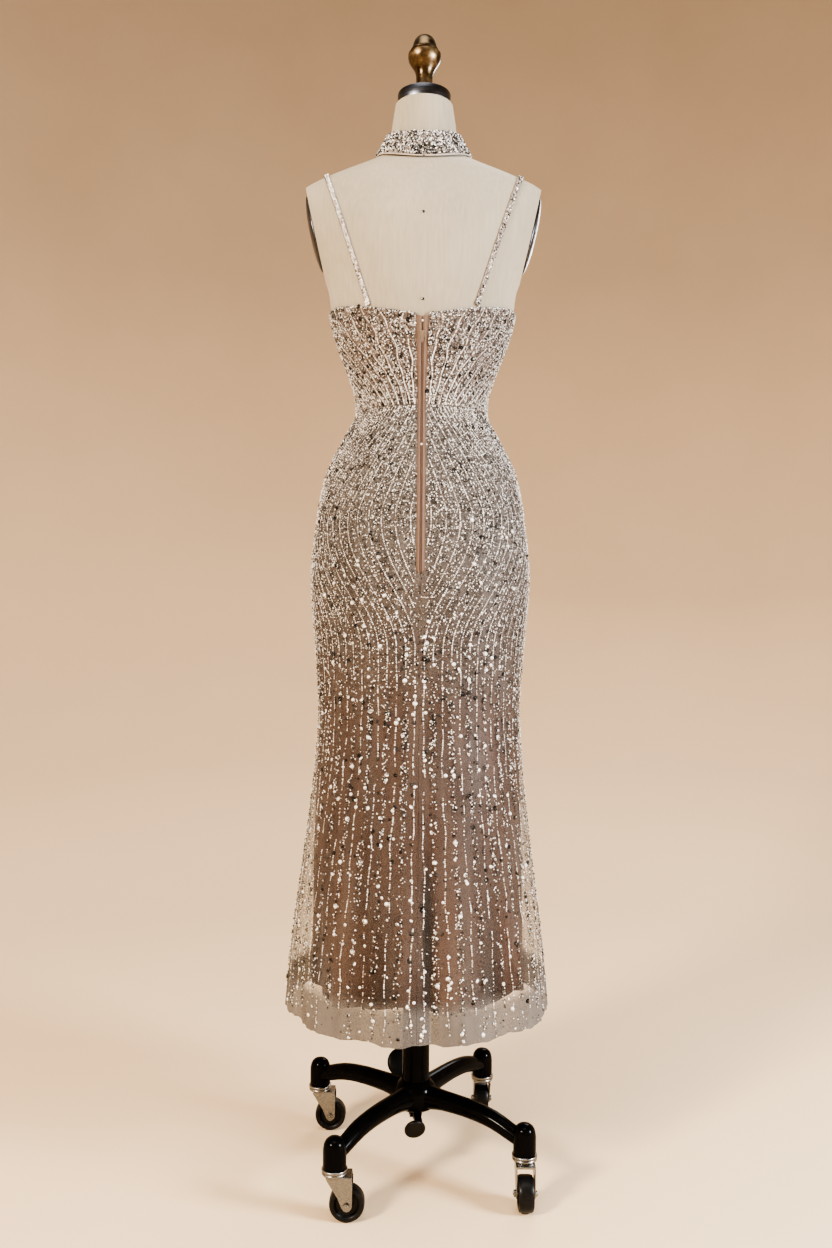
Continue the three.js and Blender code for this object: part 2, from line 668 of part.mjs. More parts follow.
function dressForm() {
  const group = new THREE.Group();
  group.add(named("form_torso", torso(), LINEN));
  group.add(named("arm_plate_left", armPlate(1), DARK_STEEL));
  group.add(named("arm_plate_right", armPlate(-1), DARK_STEEL));
  group.add(named("neck_cap", turned(CAP_PROFILE, 24), DARK_STEEL));
  group.add(named("finial", turned(FINIAL_PROFILE, 16), OLD_BRASS));
  const poleTop = TORSO_BASE - SEAM_GAP;
  const pole = turned([[0, POLE.foot], [POLE.radius, POLE.foot], [POLE.radius, poleTop], [0, poleTop]], POLE_SIDES);
  group.add(named("pole", pole, BRIGHT_STEEL));
  return group;
}

// Stand
function leg() {
  const sides = 8;
  const rings = LEG_AXIS.map((point, i) => {
    const before = LEG_AXIS[Math.max(i - 1, 0)];
    const after = LEG_AXIS[Math.min(i + 1, LEG_AXIS.length - 1)];
    const rise = Math.atan2(after.height - before.height, after.reach - before.reach);
    return Array.from({ length: sides }, (_, k) => {
      const turn = ((k + 0.5) / sides) * 2 * Math.PI;
      const up = Math.sin(turn) * point.half;
      return new THREE.Vector3(
        point.reach - Math.sin(rise) * up,
        Math.cos(turn) * point.half,
        point.height + Math.cos(rise) * up,
      );
    });
  });
  const { radius, base, shoulder, top, bore, boreTop, reach } = SOCKET;
  const socket = turned(
    [
      [0, boreTop], [bore, boreTop], [bore, base], [radius, base], [radius, shoulder],
      [radius * 0.86, top - 8], [radius * 0.52, top - 2], [0, top],
    ],
    12,
  ).translate(reach, 0, 0);
  const clearance = new THREE.CylinderGeometry(HUB.radius + 0.4, HUB.radius + 0.4, 120, 28).rotateX(QUARTER);
  return cut(joined(loft(rings), socket), clearance.translate(0, 0, LEG_AXIS[0].height));
}

function fork() {
  const { trail, crown, crownTop, crownBase, inner, plate, stem, eye } = FORK;
  const ring = turned(
    [
      [0, crownBase], [crown, crownBase], [crown - 2, crownBase + 5], [crown, crownTop], [stem, crownTop],
      [stem, SOCKET.boreTop - 2], [0, SOCKET.boreTop - 2],
    ],
    14,
  );
  const side = new THREE.Shape(CHEEK.map(([x, z]) => new THREE.Vector2(x, z)));
  side.absarc(trail, WHEEL.radius, eye, 0, -2.6, true);
  side.closePath();
  side.holes.push(new THREE.Path().absarc(trail, WHEEL.radius, AXLE.hole, 0, 2 * Math.PI));
  const cheek = (offset) =>
    new THREE.ExtrudeGeometry(side, { depth: plate, bevelEnabled: false, curveSegments: 3 })
      .rotateX(QUARTER)
      .translate(0, offset, 0);
  return joined(ring, cheek(inner + plate), cheek(-inner));
}

function wheel() {
  const rim = WHEEL.radius / Math.cos(Math.PI / WHEEL.sides);
  const { half, bore } = WHEEL;
  const profile = [
    [bore, 3 - half], [rim - 8, 3 - half], [rim - 6.5, -half], [rim - 3.5, -half], [rim, 4 - half],
    [rim, half - 4], [rim - 3.5, half], [rim - 6.5, half], [rim - 8, half - 3], [bore, half - 3], [bore, 3 - half],
  ];
  return turned(profile, WHEEL.sides).rotateX(QUARTER);
}

function axle() {
  const reach = FORK.inner + FORK.plate + SEAM_GAP;
  const { radius, head, headThick } = AXLE;
  const profile = [
    [0, -reach - headThick], [head, -reach - headThick], [head, -reach], [radius, -reach],
    [radius, reach], [head, reach], [head, reach + headThick], [0, reach + headThick],
  ];
  return turned(profile, 8).rotateX(QUARTER);
}

function casterSet({ name, leg: number, trail }) {
  const group = new THREE.Group();
  const direction = degToRad(LEG_ANGLE + 90 * number);
  const arm = named("leg_" + name, leg(), BLACK_ENAMEL);
  arm.rotation.z = direction;
  group.add(arm);
  const swivel = new THREE.Group();
  swivel.position.set(SOCKET.reach * Math.cos(direction), SOCKET.reach * Math.sin(direction), 0);
  swivel.rotation.z = degToRad(trail);
  swivel.add(named("fork_" + name, fork(), BRIGHT_STEEL));
  for (const [part, geometry, material] of [
    ["wheel_", wheel(), BLACK_RUBBER],
    ["axle_", axle(), BRIGHT_STEEL],
  ]) {
    const mesh = named(part + name, geometry, material);
    mesh.position.set(FORK.trail, 0, WHEEL.radius);
    swivel.add(mesh);
  }
  group.add(swivel);
  return group;
}

// The pedal's own X runs towards the front
function pedal() {
  const group = new THREE.Group();
  group.rotation.z = degToRad(PEDAL.angle);
  const flat = (outline, width) =>
    new THREE.ExtrudeGeometry(outline, { depth: width, bevelEnabled: false, curveSegments: 4 })
      .rotateX(QUARTER)
      .translate(0, width / 2, 0);
  const arm = new THREE.Shape(PEDAL_ARM.map(([x, z]) => new THREE.Vector2(x, z)));
  const pad = ({ forward, aside, height, lean, halfWidth, halfLength }) =>
    turned([[0, 0], [halfWidth, 0], [halfWidth, PAD_THICK - 2], [halfWidth - 3, PAD_THICK], [0, PAD_THICK]], 16)
      .scale(halfLength / halfWidth, 1, 1)
      .rotateY(degToRad(lean))
      .translate(forward, aside, height);
  const round = (radius, length) => new THREE.CylinderGeometry(radius, radius, length, 12).translate(0, 0, PEDAL.pivot);
  const boss = round(PEDAL.boss, 2 * PEDAL.halfWidth);
  const lever = cut(joined(flat(arm, 2 * PEDAL.halfWidth), boss, ...PADS.map(pad)), round(PEDAL.pin + 0.4, 40));
  group.add(named("pedal_lever", lever, BLACK_RUBBER));
  const earTop = HUB.base - SEAM_GAP;
  const ear = new THREE.Shape().moveTo(-EAR.halfWidth, earTop).lineTo(-EAR.radius, PEDAL.pivot);
  ear.absarc(0, PEDAL.pivot, EAR.radius, Math.PI, 2 * Math.PI).lineTo(EAR.halfWidth, earTop);
  ear.closePath();
  ear.holes.push(new THREE.Path().absarc(0, PEDAL.pivot, EAR.hole, 0, 2 * Math.PI));
  const earAt = PEDAL.halfWidth + EAR.away;
  const bracket = joined(
    box(0, 0, earTop - 1.25, 2 * EAR.halfWidth + 2, 2 * earAt + EAR.thick, 2.5),
    flat(ear, EAR.thick).translate(0, earAt, 0),
    flat(ear, EAR.thick).translate(0, -earAt, 0),
  );
  group.add(named("pedal_bracket", bracket, BLACK_ENAMEL));
  group.add(named("pedal_pin", round(PEDAL.pin, 2 * (earAt + EAR.thick)), BRIGHT_STEEL));
  return group;
}

function stand() {
  const group = new THREE.Group();
  const { radius, base, top, boreFloor } = HUB;
  const hub = turned(
    [
      [0, base], [radius - 3, base], [radius, base + 4], [radius, top - 16], [radius - 4, top - 6],
      [COLUMN.radius + 1, top], [COLUMN.bore, top], [COLUMN.bore, boreFloor], [0, boreFloor],
    ],
    POLE_SIDES,
  );
  group.add(named("hub", hub, BLACK_ENAMEL));
  const column = turned(
    [
      [COLUMN.bore, COLUMN.foot], [COLUMN.radius, COLUMN.foot], [COLUMN.radius, COLUMN.top],
      [COLUMN.bore, COLUMN.top], [COLUMN.bore, COLUMN.foot],
    ],
    POLE_SIDES,
  );
  group.add(named("column", column, BLACK_ENAMEL));
  for (const caster of CASTERS) group.add(casterSet(caster));
  group.add(pedal());
  return group;
}

const object = new THREE.Group();
object.add(gown(), dressForm(), stand());

export default object;
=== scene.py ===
# A beaded halter evening gown on a limbless dress form that stands on a four-wheeled iron base.
# Metres, +Z up, origin on the floor under the pole. The gown's back faces +Y, and the wearer's left is +X.
import math

import bmesh
import bpy
import numpy as np
from mathutils import Euler, Matrix


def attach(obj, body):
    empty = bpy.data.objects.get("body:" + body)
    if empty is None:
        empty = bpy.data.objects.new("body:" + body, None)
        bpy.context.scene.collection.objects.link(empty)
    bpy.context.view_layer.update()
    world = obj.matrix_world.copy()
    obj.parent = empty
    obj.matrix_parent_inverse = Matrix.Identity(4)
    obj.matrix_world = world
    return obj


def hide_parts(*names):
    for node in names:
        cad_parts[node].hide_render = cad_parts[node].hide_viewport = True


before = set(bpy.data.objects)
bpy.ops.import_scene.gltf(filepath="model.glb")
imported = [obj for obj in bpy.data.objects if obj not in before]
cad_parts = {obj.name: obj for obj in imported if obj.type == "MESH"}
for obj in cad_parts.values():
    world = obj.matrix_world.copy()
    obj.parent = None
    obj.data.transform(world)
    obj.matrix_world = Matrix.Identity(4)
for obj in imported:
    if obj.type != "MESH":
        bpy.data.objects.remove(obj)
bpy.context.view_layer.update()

# Column and hub. A cast iron tube stands in a turned hub, and both wear a thick black gloss enamel, which
# runs a little uneven over the casting and rounds off its corners.
COLUMN_PROFILE = [(0.0129, 0.1403), (0.0220, 0.1403), (0.0220, 0.4200), (0.0129, 0.4200), (0.0129, 0.1403)]
HUB_PROFILE = [
    (0, 0.0972), (0.0310, 0.0972), (0.0340, 0.1000), (0.0350, 0.1060), (0.0350, 0.1230), (0.0335, 0.1290),
    (0.0290, 0.1350), (0.0235, 0.1399), (0.0129, 0.1399), (0.0129, 0.1000), (0, 0.1000),
]


class Wire:
    """The value that leaves a socket of a material's nodes. Sums and products of wires add Math nodes."""

    def __init__(self, finish, socket):
        self.finish = finish
        self.socket = socket

    def math(self, operation, first, second):
        return self.finish.node("ShaderNodeMath", {"operation": operation}, {0: first, 1: second})

    def __add__(self, other):
        return self.math("ADD", self, other)

    def __sub__(self, other):
        return self.math("SUBTRACT", self, other)

    def __rsub__(self, other):
        return self.math("SUBTRACT", other, self)

    def __mul__(self, other):
        return self.math("MULTIPLY", self, other)

    def __lt__(self, other):
        return self.math("LESS_THAN", self, other)

    def __gt__(self, other):
        return self.math("GREATER_THAN", self, other)

    def __abs__(self):
        return self.math("ABSOLUTE", self, 0)

    __radd__ = __add__
    __rmul__ = __mul__


class Finish:
    """A material of the part, round one Principled shader."""

    def __init__(self, name, constants):
        self.material = bpy.data.materials.new(name)
        self.material.use_nodes = True
        self.tree = self.material.node_tree
        self.shader = self.tree.nodes["Principled BSDF"]
        self.feed(constants)

    def put(self, socket, value):
        if isinstance(value, Wire):
            self.tree.links.new(value.socket, socket)
        elif socket.type == "RGBA":
            socket.default_value = (*value, 1)
        else:
            socket.default_value = value

    def feed(self, inputs):
        for name, value in inputs.items():
            self.put(self.shader.inputs[name], value)

    def node(self, kind, settings, inputs, output=0):
        made = self.tree.nodes.new(kind)
        for name, value in settings.items():
            if name == "stops":
                ramp = made.color_ramp
                ramp.elements[0].position, ramp.elements[1].position = value[0][0], value[-1][0]
                for at, _ in value[1:-1]:
                    ramp.elements.new(at)
                for stop, (_, colour) in zip(ramp.elements, value):
                    stop.color = (*colour, 1)
            elif name == "steps":
                made.color_ramp.interpolation = "CONSTANT"
            else:
                setattr(made, name, value)
        for name, value in inputs.items():
            self.put(made.inputs[name], value)
        return Wire(self, made.outputs[output])

    def place(self, stretch=(1, 1, 1)):
        here = self.node("ShaderNodeTexCoord", {}, {}, "Object")
        return self.node("ShaderNodeMapping", {}, {"Vector": here, "Scale": stretch})

    def along(self, axis):
        return self.node("ShaderNodeSeparateXYZ", {}, {0: self.place()}, axis)

    def grain(self, scale, detail=2, stretch=(1, 1, 1)):
        return self.node(
            "ShaderNodeTexNoise", {}, {"Vector": self.place(stretch), "Scale": scale, "Detail": detail}
        )

    def weave(self, direction, scale, distortion):
        wave = {"Vector": self.place(), "Scale": scale, "Distortion": distortion}
        return self.node("ShaderNodeTexWave", {"bands_direction": direction}, wave)

    def cells(self, scale, output=0, **settings):
        return self.node("ShaderNodeTexVoronoi", settings, {"Vector": self.place(), "Scale": scale}, output)

    def climb(self, low, high):
        """A value that grows from 0 to 1 between two heights."""
        span = {"Value": self.along("Z"), "From Min": low, "From Max": high}
        return self.node("ShaderNodeMapRange", {}, span)

    def stored(self, name):
        """A value that was stored at each vertex."""
        return self.node("ShaderNodeAttribute", {"attribute_name": name}, {}, "Fac")

    def by_bead(self):
        """A value that differs from one bead to the next."""
        return self.node("ShaderNodeNewGeometry", {}, {}, "Random Per Island")

    def ramp(self, factor, stops, **settings):
        return self.node("ShaderNodeValToRGB", {"stops": stops, **settings}, {0: factor})

    def tint(self, factor, low, high):
        return self.node("ShaderNodeMix", {"data_type": "RGBA"}, {0: factor, 6: low, 7: high}, 2)

    def relief(self, height, distance, strength=1.0):
        bump = {"Height": height, "Distance": distance, "Strength": strength}
        self.feed({"Normal": self.node("ShaderNodeBump", {}, bump)})


def piece(name, points, faces, finish, body, slot, crease=35):
    """A new mesh piece in the row frame that rides on a body. Edges sharper than crease stay sharp."""
    mesh = bpy.data.meshes.new(name)
    if isinstance(faces, np.ndarray):
        mesh.vertices.add(len(points))
        mesh.vertices.foreach_set("co", np.ravel(points))
        mesh.loops.add(faces.size)
        mesh.loops.foreach_set("vertex_index", np.ravel(faces))
        mesh.polygons.add(len(faces))
        mesh.polygons.foreach_set("loop_start", np.arange(0, faces.size, faces.shape[1]))
        mesh.update(calc_edges=True)
    else:
        mesh.from_pydata(np.asarray(points, float).tolist(), [], faces)
    mesh.materials.append(finish.material)
    if crease:
        mesh.polygons.foreach_set("use_smooth", [True] * len(mesh.polygons))
        mesh.set_sharp_from_angle(angle=math.radians(crease))
    made = bpy.data.objects.new(name, mesh)
    bpy.context.scene.collection.objects.link(made)
    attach(made, body)
    return made


def spun(profile, sides=48):
    """Points and faces of a body turned about Z from radius and height pairs, which run outside upward."""
    points, faces, rings = [], [], []
    for radius, height in profile:
        if radius == 0:
            rings.append([len(points)] * sides)
            points.append((0, 0, height))
        else:
            rings.append(list(range(len(points), len(points) + sides)))
            turn = np.arange(sides) / sides * 2 * math.pi
            points += [(radius * math.cos(t), radius * math.sin(t), height) for t in turn]
    for low, high in zip(rings, rings[1:]):
        for k in range(sides):
            n = (k + 1) % sides
            face = list(dict.fromkeys([low[k], low[n], high[n], high[k]]))
            if len(face) > 2:
                faces.append(face)
    return np.array(points), faces


def joined(*parts):
    """Several sets of points and faces as one."""
    points, faces, before = [], [], 0
    for some, theirs in parts:
        points.append(some)
        faces += [[corner + before for corner in face] for face in theirs]
        before += len(some)
    return np.concatenate(points), faces


def moved(part, *steps):
    """Points and faces after each 4 x 4 step in turn."""
    points, faces = part
    for step in steps:
        step = np.array(step)
        points = points @ step[:3, :3].T + step[:3, 3]
    return points, faces


def rounded(made, width, segments=2):
    edge = made.modifiers.new("edge", "BEVEL")
    edge.width, edge.segments = width, segments
    edge.limit_method, edge.angle_limit = "ANGLE", math.radians(35)


enamel = Finish("black_enamel", {"Coat Weight": 0.09, "Coat Roughness": 0.04, "Specular IOR Level": 0.03})
worn = enamel.grain(60, 4)
enamel.feed({
    "Base Color": enamel.tint(worn, (0.0012, 0.0012, 0.0014), (0.006, 0.0055, 0.0055)),
    "Roughness": enamel.grain(35, 3) * 0.22 + 0.10,
})
enamel.relief(enamel.grain(90, 2), 0.0006, 0.25)

column = piece("column_tube", *spun(COLUMN_PROFILE, 64), enamel, "base", "black_enamel")
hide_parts("column")
rounded(column, 0.0008)
hub = piece("hub_casting", *spun(HUB_PROFILE, 64), enamel, "base", "black_enamel")
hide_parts("hub")

# Legs. Four cast arms arch out of the hub and end in a domed socket for the caster. Each has a softly
# rounded back with a shallow line along both sides of its crown, as the photo's highlights show.

# How far out, how high and half the thickness, in millimetres, from hub to socket.
LEG_AXIS = np.array([
    (30, 116, 18.5), (38, 116.6, 17.4), (48, 117.4, 16.2), (60, 118, 15.3), (80, 118.4, 14.8),
    (100, 118.3, 14.5), (120, 117.2, 14.2), (135, 115.6, 14), (150, 113, 13.8), (165, 108.8, 13.4),
    (180, 103.6, 13), (196, 98, 12.4),
]) / 1000
LEG_SIDES = 32
LEG_CROWN, LEG_BELLY = 1.04, 0.96
CROWN_LINES, LINE_HALF, LINE_DEPTH = (42, 138), 0.16, 0.055
SOCKET_PROFILE = [
    (0, 0.0786), (0.0165, 0.0786), (0.0174, 0.0796), (0.0175, 0.0830), (0.0175, 0.1020), (0.0172, 0.1075),
    (0.0160, 0.1135), (0.0135, 0.1185), (0.0098, 0.1217), (0.0052, 0.1232), (0, 0.1236),
]
CORNERS = {"back_left": 0, "back_right": 1, "front_right": 2, "front_left": 3}
FIRST_LEG = 54.3
REACH = 0.206


def leg_body():
    points, faces = [], []
    for i, (reach, height, half) in enumerate(LEG_AXIS):
        before, after = LEG_AXIS[max(i - 1, 0)], LEG_AXIS[min(i + 1, len(LEG_AXIS) - 1)]
        rise = math.atan2(after[1] - before[1], after[0] - before[0])
        for k in range(LEG_SIDES):
            turn = k / LEG_SIDES * 2 * math.pi
            line = sum(math.exp(-(((turn - math.radians(at)) / LINE_HALF) ** 2)) for at in CROWN_LINES)
            size = half * (1 - LINE_DEPTH * line)
            across, up = size * math.cos(turn), size * math.sin(turn)
            up *= LEG_CROWN if up > 0 else LEG_BELLY
            points.append((reach - math.sin(rise) * up, across, height + math.cos(rise) * up))
    rings = len(LEG_AXIS)
    for first in range(0, (rings - 1) * LEG_SIDES, LEG_SIDES):
        after = first + LEG_SIDES
        for k in range(LEG_SIDES):
            n = (k + 1) % LEG_SIDES
            faces.append([first + k, after + k, after + n, first + n])
    faces.append(list(range(LEG_SIDES)))
    faces.append(list(range(rings * LEG_SIDES - 1, (rings - 1) * LEG_SIDES - 1, -1)))
    return np.array(points), faces


for corner, number in CORNERS.items():
    turn = Matrix.Rotation(math.radians(FIRST_LEG + 90 * number), 4, "Z")
    socket = moved(spun(SOCKET_PROFILE), Matrix.Translation((REACH, 0, 0)))
    body = moved(joined(leg_body(), socket), turn)
    leg = piece("leg_casting_" + corner, *body, enamel, "base", "black_enamel")
    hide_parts("leg_" + corner)

# Casters. Each turns under its socket on a plated double ring. A pressed steel fork drops from the ring to a
# bolt, and a black wheel with a raised hub runs on it, behind the upright stem.

# Which way each wheel trails behind its stem, in degrees.
TRAILS = {"back_left": 180, "back_right": 90, "front_right": -90, "front_left": 180}
TRAIL = 0.019
WHEEL_RADIUS = 0.0265
RING_PROFILE = [
    (0, 0.0680), (0.0165, 0.0680), (0.0180, 0.0686), (0.0190, 0.0700), (0.0192, 0.0714), (0.0186, 0.0727),
    (0.0179, 0.0733), (0.0187, 0.0740), (0.0195, 0.0752), (0.0196, 0.0766), (0.0190, 0.0777), (0.0178, 0.0783),
    (0.0045, 0.0783), (0.0045, 0.0990), (0, 0.0990),
]
CHEEK = [
    (-0.0120, 0.0690), (-0.0110, 0.0650), (0.0050, 0.0400), (0.0115, 0.0245), (0.0150, 0.0200),
    (0.0190, 0.0185), (0.0232, 0.0200), (0.0262, 0.0235), (0.0272, 0.0270), (0.0275, 0.0600), (0.0260, 0.0690),
]
CHEEK_THICK, CHEEK_ASIDE = 0.0018, 0.0139
BRIDGE = [(-0.012, 0.0660), (0.0262, 0.0660), (0.0262, 0.0692), (-0.012, 0.0692)]
BRIDGE_WIDE = 0.0270
TYRE_PROFILE = [
    (0.0040, -0.0075), (0.0085, -0.0075), (0.0095, -0.0060), (0.0165, -0.0060), (0.0180, -0.0095),
    (0.0200, -0.0112), (0.0225, -0.0117), (0.0250, -0.0106), (0.0262, -0.0080), (0.0265, -0.0045),
    (0.0265, 0.0045), (0.0262, 0.0080), (0.0250, 0.0106), (0.0225, 0.0117), (0.0200, 0.0112),
    (0.0180, 0.0095), (0.0165, 0.0060), (0.0095, 0.0060), (0.0085, 0.0075), (0.0040, 0.0075), (0.0040, -0.0075),
]
BOLT_PROFILE = [
    (0, -0.0190), (0.0022, -0.0188), (0.0042, -0.0176), (0.0048, -0.0162), (0.0048, -0.0150), (0.0032, -0.0150),
    (0.0032, 0.0150), (0.0052, 0.0150), (0.0052, 0.0180), (0.0028, 0.0180), (0.0024, 0.0192), (0, 0.0192),
]
LYING = Matrix.Rotation(math.pi / 2, 4, "X")


def plate(outline, thick):
    """A flat plate in the XZ plane, thick along Y, from its outline."""
    count = len(outline)
    points = [(x, -thick / 2, z) for x, z in outline] + [(x, thick / 2, z) for x, z in outline]
    faces = [list(range(count)), list(range(2 * count - 1, count - 1, -1))]
    for k in range(count):
        n = (k + 1) % count
        faces.append([n, k, k + count, n + count])
    return np.array(points), faces


steel = Finish("bright_steel", {"Metallic": 1.0, "Anisotropic": 0.2})
rub = steel.grain(220, 3, (1, 1, 6))
steel.feed({
    "Base Color": steel.tint(rub, (0.05, 0.049, 0.048), (0.46, 0.455, 0.445)),
    "Roughness": steel.grain(70, 3) * 0.25 + 0.17,
})
steel.relief(rub, 0.0002, 0.2)
rubber = Finish("black_rubber", {"Coat Weight": 0.08, "Coat Roughness": 0.2, "Specular IOR Level": 0.2})
dusty = rubber.grain(140, 3)
rubber.feed({
    "Base Color": rubber.tint(dusty, (0.0028, 0.0028, 0.0031), (0.0120, 0.0116, 0.0112)),
    "Roughness": rubber.grain(60, 2) * 0.3 + 0.28,
})
rubber.relief(dusty, 0.0004, 0.3)

for corner, number in CORNERS.items():
    direction = math.radians(FIRST_LEG + 90 * number)
    stem = Matrix.Translation((REACH * math.cos(direction), REACH * math.sin(direction), 0))
    stem = stem @ Matrix.Rotation(math.radians(TRAILS[corner]), 4, "Z")
    hang = Matrix.Translation((TRAIL, 0, WHEEL_RADIUS))
    cheeks = [
        moved(plate(CHEEK, CHEEK_THICK), Matrix.Translation((0, side * CHEEK_ASIDE, 0))) for side in (-1, 1)
    ]
    fork_body = joined(spun(RING_PROFILE), *cheeks, plate(BRIDGE, BRIDGE_WIDE))
    fork = piece("fork_steel_" + corner, *moved(fork_body, stem), steel, "swivel_" + corner, "bright_steel")
    rounded(fork, 0.0004)
    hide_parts("fork_" + corner)
    bolt_body = moved(spun(BOLT_PROFILE, 24), LYING, hang, stem)
    bolt = piece("bolt_" + corner, *bolt_body, steel, "swivel_" + corner, "bright_steel")
    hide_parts("axle_" + corner)
    tyre_body = moved(spun(TYRE_PROFILE, 56), LYING, hang, stem)
    tyre = piece("tyre_" + corner, *tyre_body, rubber, "wheel_" + corner, "black_rubber")
    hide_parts("wheel_" + corner)

# Foot pedal. A cast rocker under the hub frees the height lock. Both ends carry a rounded rubber knob, the
# far one held high between two legs and the near one low under the hub. Bracket and pin are the solids.
PEDAL_TURN = FIRST_LEG - 135
ROCKER = [
    (-0.046, 0.0765), (-0.040, 0.083), (-0.020, 0.090), (0, 0.091), (0.040, 0.097), (0.091, 0.122),
    (0.095, 0.114), (0.044, 0.088), (0, 0.077), (-0.020, 0.080),
]
ROCKER_THICK = 0.0118
KNOB_PROFILE = [
    (0, 0), (0.90, 0), (0.985, 0.0012), (1, 0.0028), (0.985, 0.0046), (0.92, 0.0062), (0.80, 0.0074),
    (0.60, 0.0082), (0.35, 0.0087), (0, 0.0089),
]

# How far forward, aside and up, the lean in degrees, half the width and half the length.
KNOBS = [(0.097, 0.010, 0.127, -62, 0.024, 0.024), (-0.047, 0.008, 0.076, 62, 0.017, 0.019)]


def knob(forward, aside, height, lean, half_width, half_length):
    disc = spun([(radius * half_width, rise) for radius, rise in KNOB_PROFILE], 40)
    return moved(
        disc,
        Matrix.Diagonal((half_length / half_width, 1, 1, 1)),
        Matrix.Rotation(math.radians(lean), 4, "Y"),
        Matrix.Translation((forward, aside, height)),
    )


turn = Matrix.Rotation(math.radians(PEDAL_TURN), 4, "Z")
pedal_body = joined(plate(ROCKER, ROCKER_THICK), *[knob(*row) for row in KNOBS])
pedal = piece("pedal_rocker", *moved(pedal_body, turn), rubber, "pedal", "black_rubber")
rounded(pedal, 0.0015, 3)
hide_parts("pedal_lever")
for node, finish in (("pedal_bracket", enamel), ("pedal_pin", steel)):
    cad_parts[node].data.materials.clear()
    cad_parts[node].data.materials.append(finish.material)

# Pole. A bright drawn steel tube carries the form. It slides in the column, and its upper end is hidden
# inside the torso.
POLE_PROFILE = [
    (0, 0.1900), (0.0118, 0.1900), (0.0125, 0.1907), (0.0125, 0.7990), (0.0122, 0.7997), (0, 0.7997),
]
pole = piece("pole_tube", *spun(POLE_PROFILE), steel, "form_and_gown", "bright_steel")
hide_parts("pole")

# Torso of the dress form. A hard shell under stretched off-white linen, with a seam down the centre back and
# one under each arm. The shoulders are cut off in one flat plane each.

# A height, then half sizes to the side, front and back, and how far inside these the skirt's lining and the
# form lie, all in millimetres.
FIGURE = np.array([
    (262, 211.5, 211.5, 211.5, 41, 60), (330, 206, 203, 204, 35, 60), (400, 199.5, 193, 195, 29, 50),
    (532, 183, 166, 172, 14, 30), (663, 169, 138, 147, 4, 12), (745, 164, 126, 138, 2, 8),
    (860, 171, 118, 137, 2, 7), (959, 178, 114, 140, 2, 7), (1058, 169, 108, 131, 2, 7),
    (1124, 156.5, 103, 118, 1.9, 7), (1190, 126, 96, 98, 1.8, 6.5), (1230, 107, 90, 88, 1.7, 6),
    (1255, 108.5, 92, 88.5, 1.7, 5), (1288, 118, 103, 94, 1.7, 4), (1340, 138, 126, 106, 1.7, 3.3),
    (1387, 151, 137, 115, 1.7, 3), (1430, 157, 137, 120, 1.7, 3), (1470, 174, 129, 120, 1.7, 3),
    (1520, 200, 111, 114, 1.7, 3), (1560, 209, 94, 103, 1.7, 3), (1590, 204, 79, 90.5, 1.7, 3),
    (1602, 187, 71.5, 83.5, 1.7, 3), (1615, 157, 61, 78, 1.7, 3), (1627, 127, 50.5, 69.5, 1.7, 3),
    (1638, 102, 47, 57.5, 1.7, 3), (1650, 76, 46.5, 53, 1.7, 3), (1670, 62, 48, 51.5, 1.7, 3),
    (1690, 57.2, 49, 51.5, 1.7, 3), (1715, 53.5, 49.9, 51, 1.7, 3), (1737, 50, 50, 50, 1.7, 3),
]) / 1000
SIDE, FRONT, BACK, LINING, FORM = range(1, 6)
BUST = {"height": 1.372, "half_height": 0.062, "angle": 36, "half_angle": 27, "fullness": 0.009, "form": 0.7}
CHEST = {"height": 1.500, "half_height": 0.150, "hollow": 0.0034}
ARM_CUT = {"side": 0.163, "height": 1.464, "lean": 0.218}
SHOULDER_BLOCK = (0.06, 0.30, 0.24)
BLOCK_RAISE = 0.04
SEAM_HALF = 0.00055


def read(column, height):
    """A smooth value from a column of the figure's table, which never swings past the rows beside it."""
    rows, values = FIGURE[:, 0], FIGURE[:, column]
    rise = np.diff(values) / np.diff(rows)
    product, total = rise[:-1] * rise[1:], rise[:-1] + rise[1:]
    inner = np.where(product > 0, 2 * product / np.where(product > 0, total, 1), 0)
    slope = np.concatenate([rise[:1], inner, rise[-1:]])
    k = np.clip(np.searchsorted(rows, height, side="right") - 1, 0, len(rows) - 2)
    span = rows[k + 1] - rows[k]
    t = np.clip((height - rows[k]) / span, 0, 1)
    rest = 1 - t
    return (
        rest * rest * (1 + 2 * t) * values[k] + t * t * (3 - 2 * t) * values[k + 1]
        + rest * rest * t * span * slope[k] - t * t * rest * span * slope[k + 1]
    )


def smooth(t):
    t = np.clip(t, 0, 1)
    return t * t * (3 - 2 * t)


def hump(distance):
    return (1 + np.cos(np.pi * np.minimum(np.abs(distance), 1))) / 2


def turn_between(angle, degrees):
    turn = angle - math.radians(degrees)
    return np.arctan2(np.sin(turn), np.cos(turn))


def on_figure(angle, height, outward=0.0, cups=1.0):
    """Points of the figure's section at a height, moved outward along the section's normal."""
    side = read(SIDE, height)
    deep = np.where(np.sin(angle) > 0, read(BACK, height), read(FRONT, height))
    half_angle = math.radians(BUST["half_angle"])
    bust = hump((height - BUST["height"]) / BUST["half_height"]) * sum(
        hump(turn_between(angle, -90 + way * BUST["angle"]) / half_angle) for way in (-1, 1)
    )
    across, through = np.cos(angle) / side, np.sin(angle) / deep
    length = np.hypot(across, through)
    out = outward + BUST["fullness"] * bust * cups
    return np.stack([
        side * np.cos(angle) + out * across / length,
        deep * np.sin(angle) + out * through / length,
        height + 0 * angle,
    ], axis=-1)


def skin(rings, sides):
    """The faces of a closed skin over rings of points, with a flat cap at both ends."""
    faces = [list(range(sides))[::-1], list(range((rings - 1) * sides, rings * sides))]
    for row in range(rings - 1):
        for k in range(sides):
            n = (k + 1) % sides
            faces.append([row * sides + k, row * sides + n, (row + 1) * sides + n, (row + 1) * sides + k])
    return faces


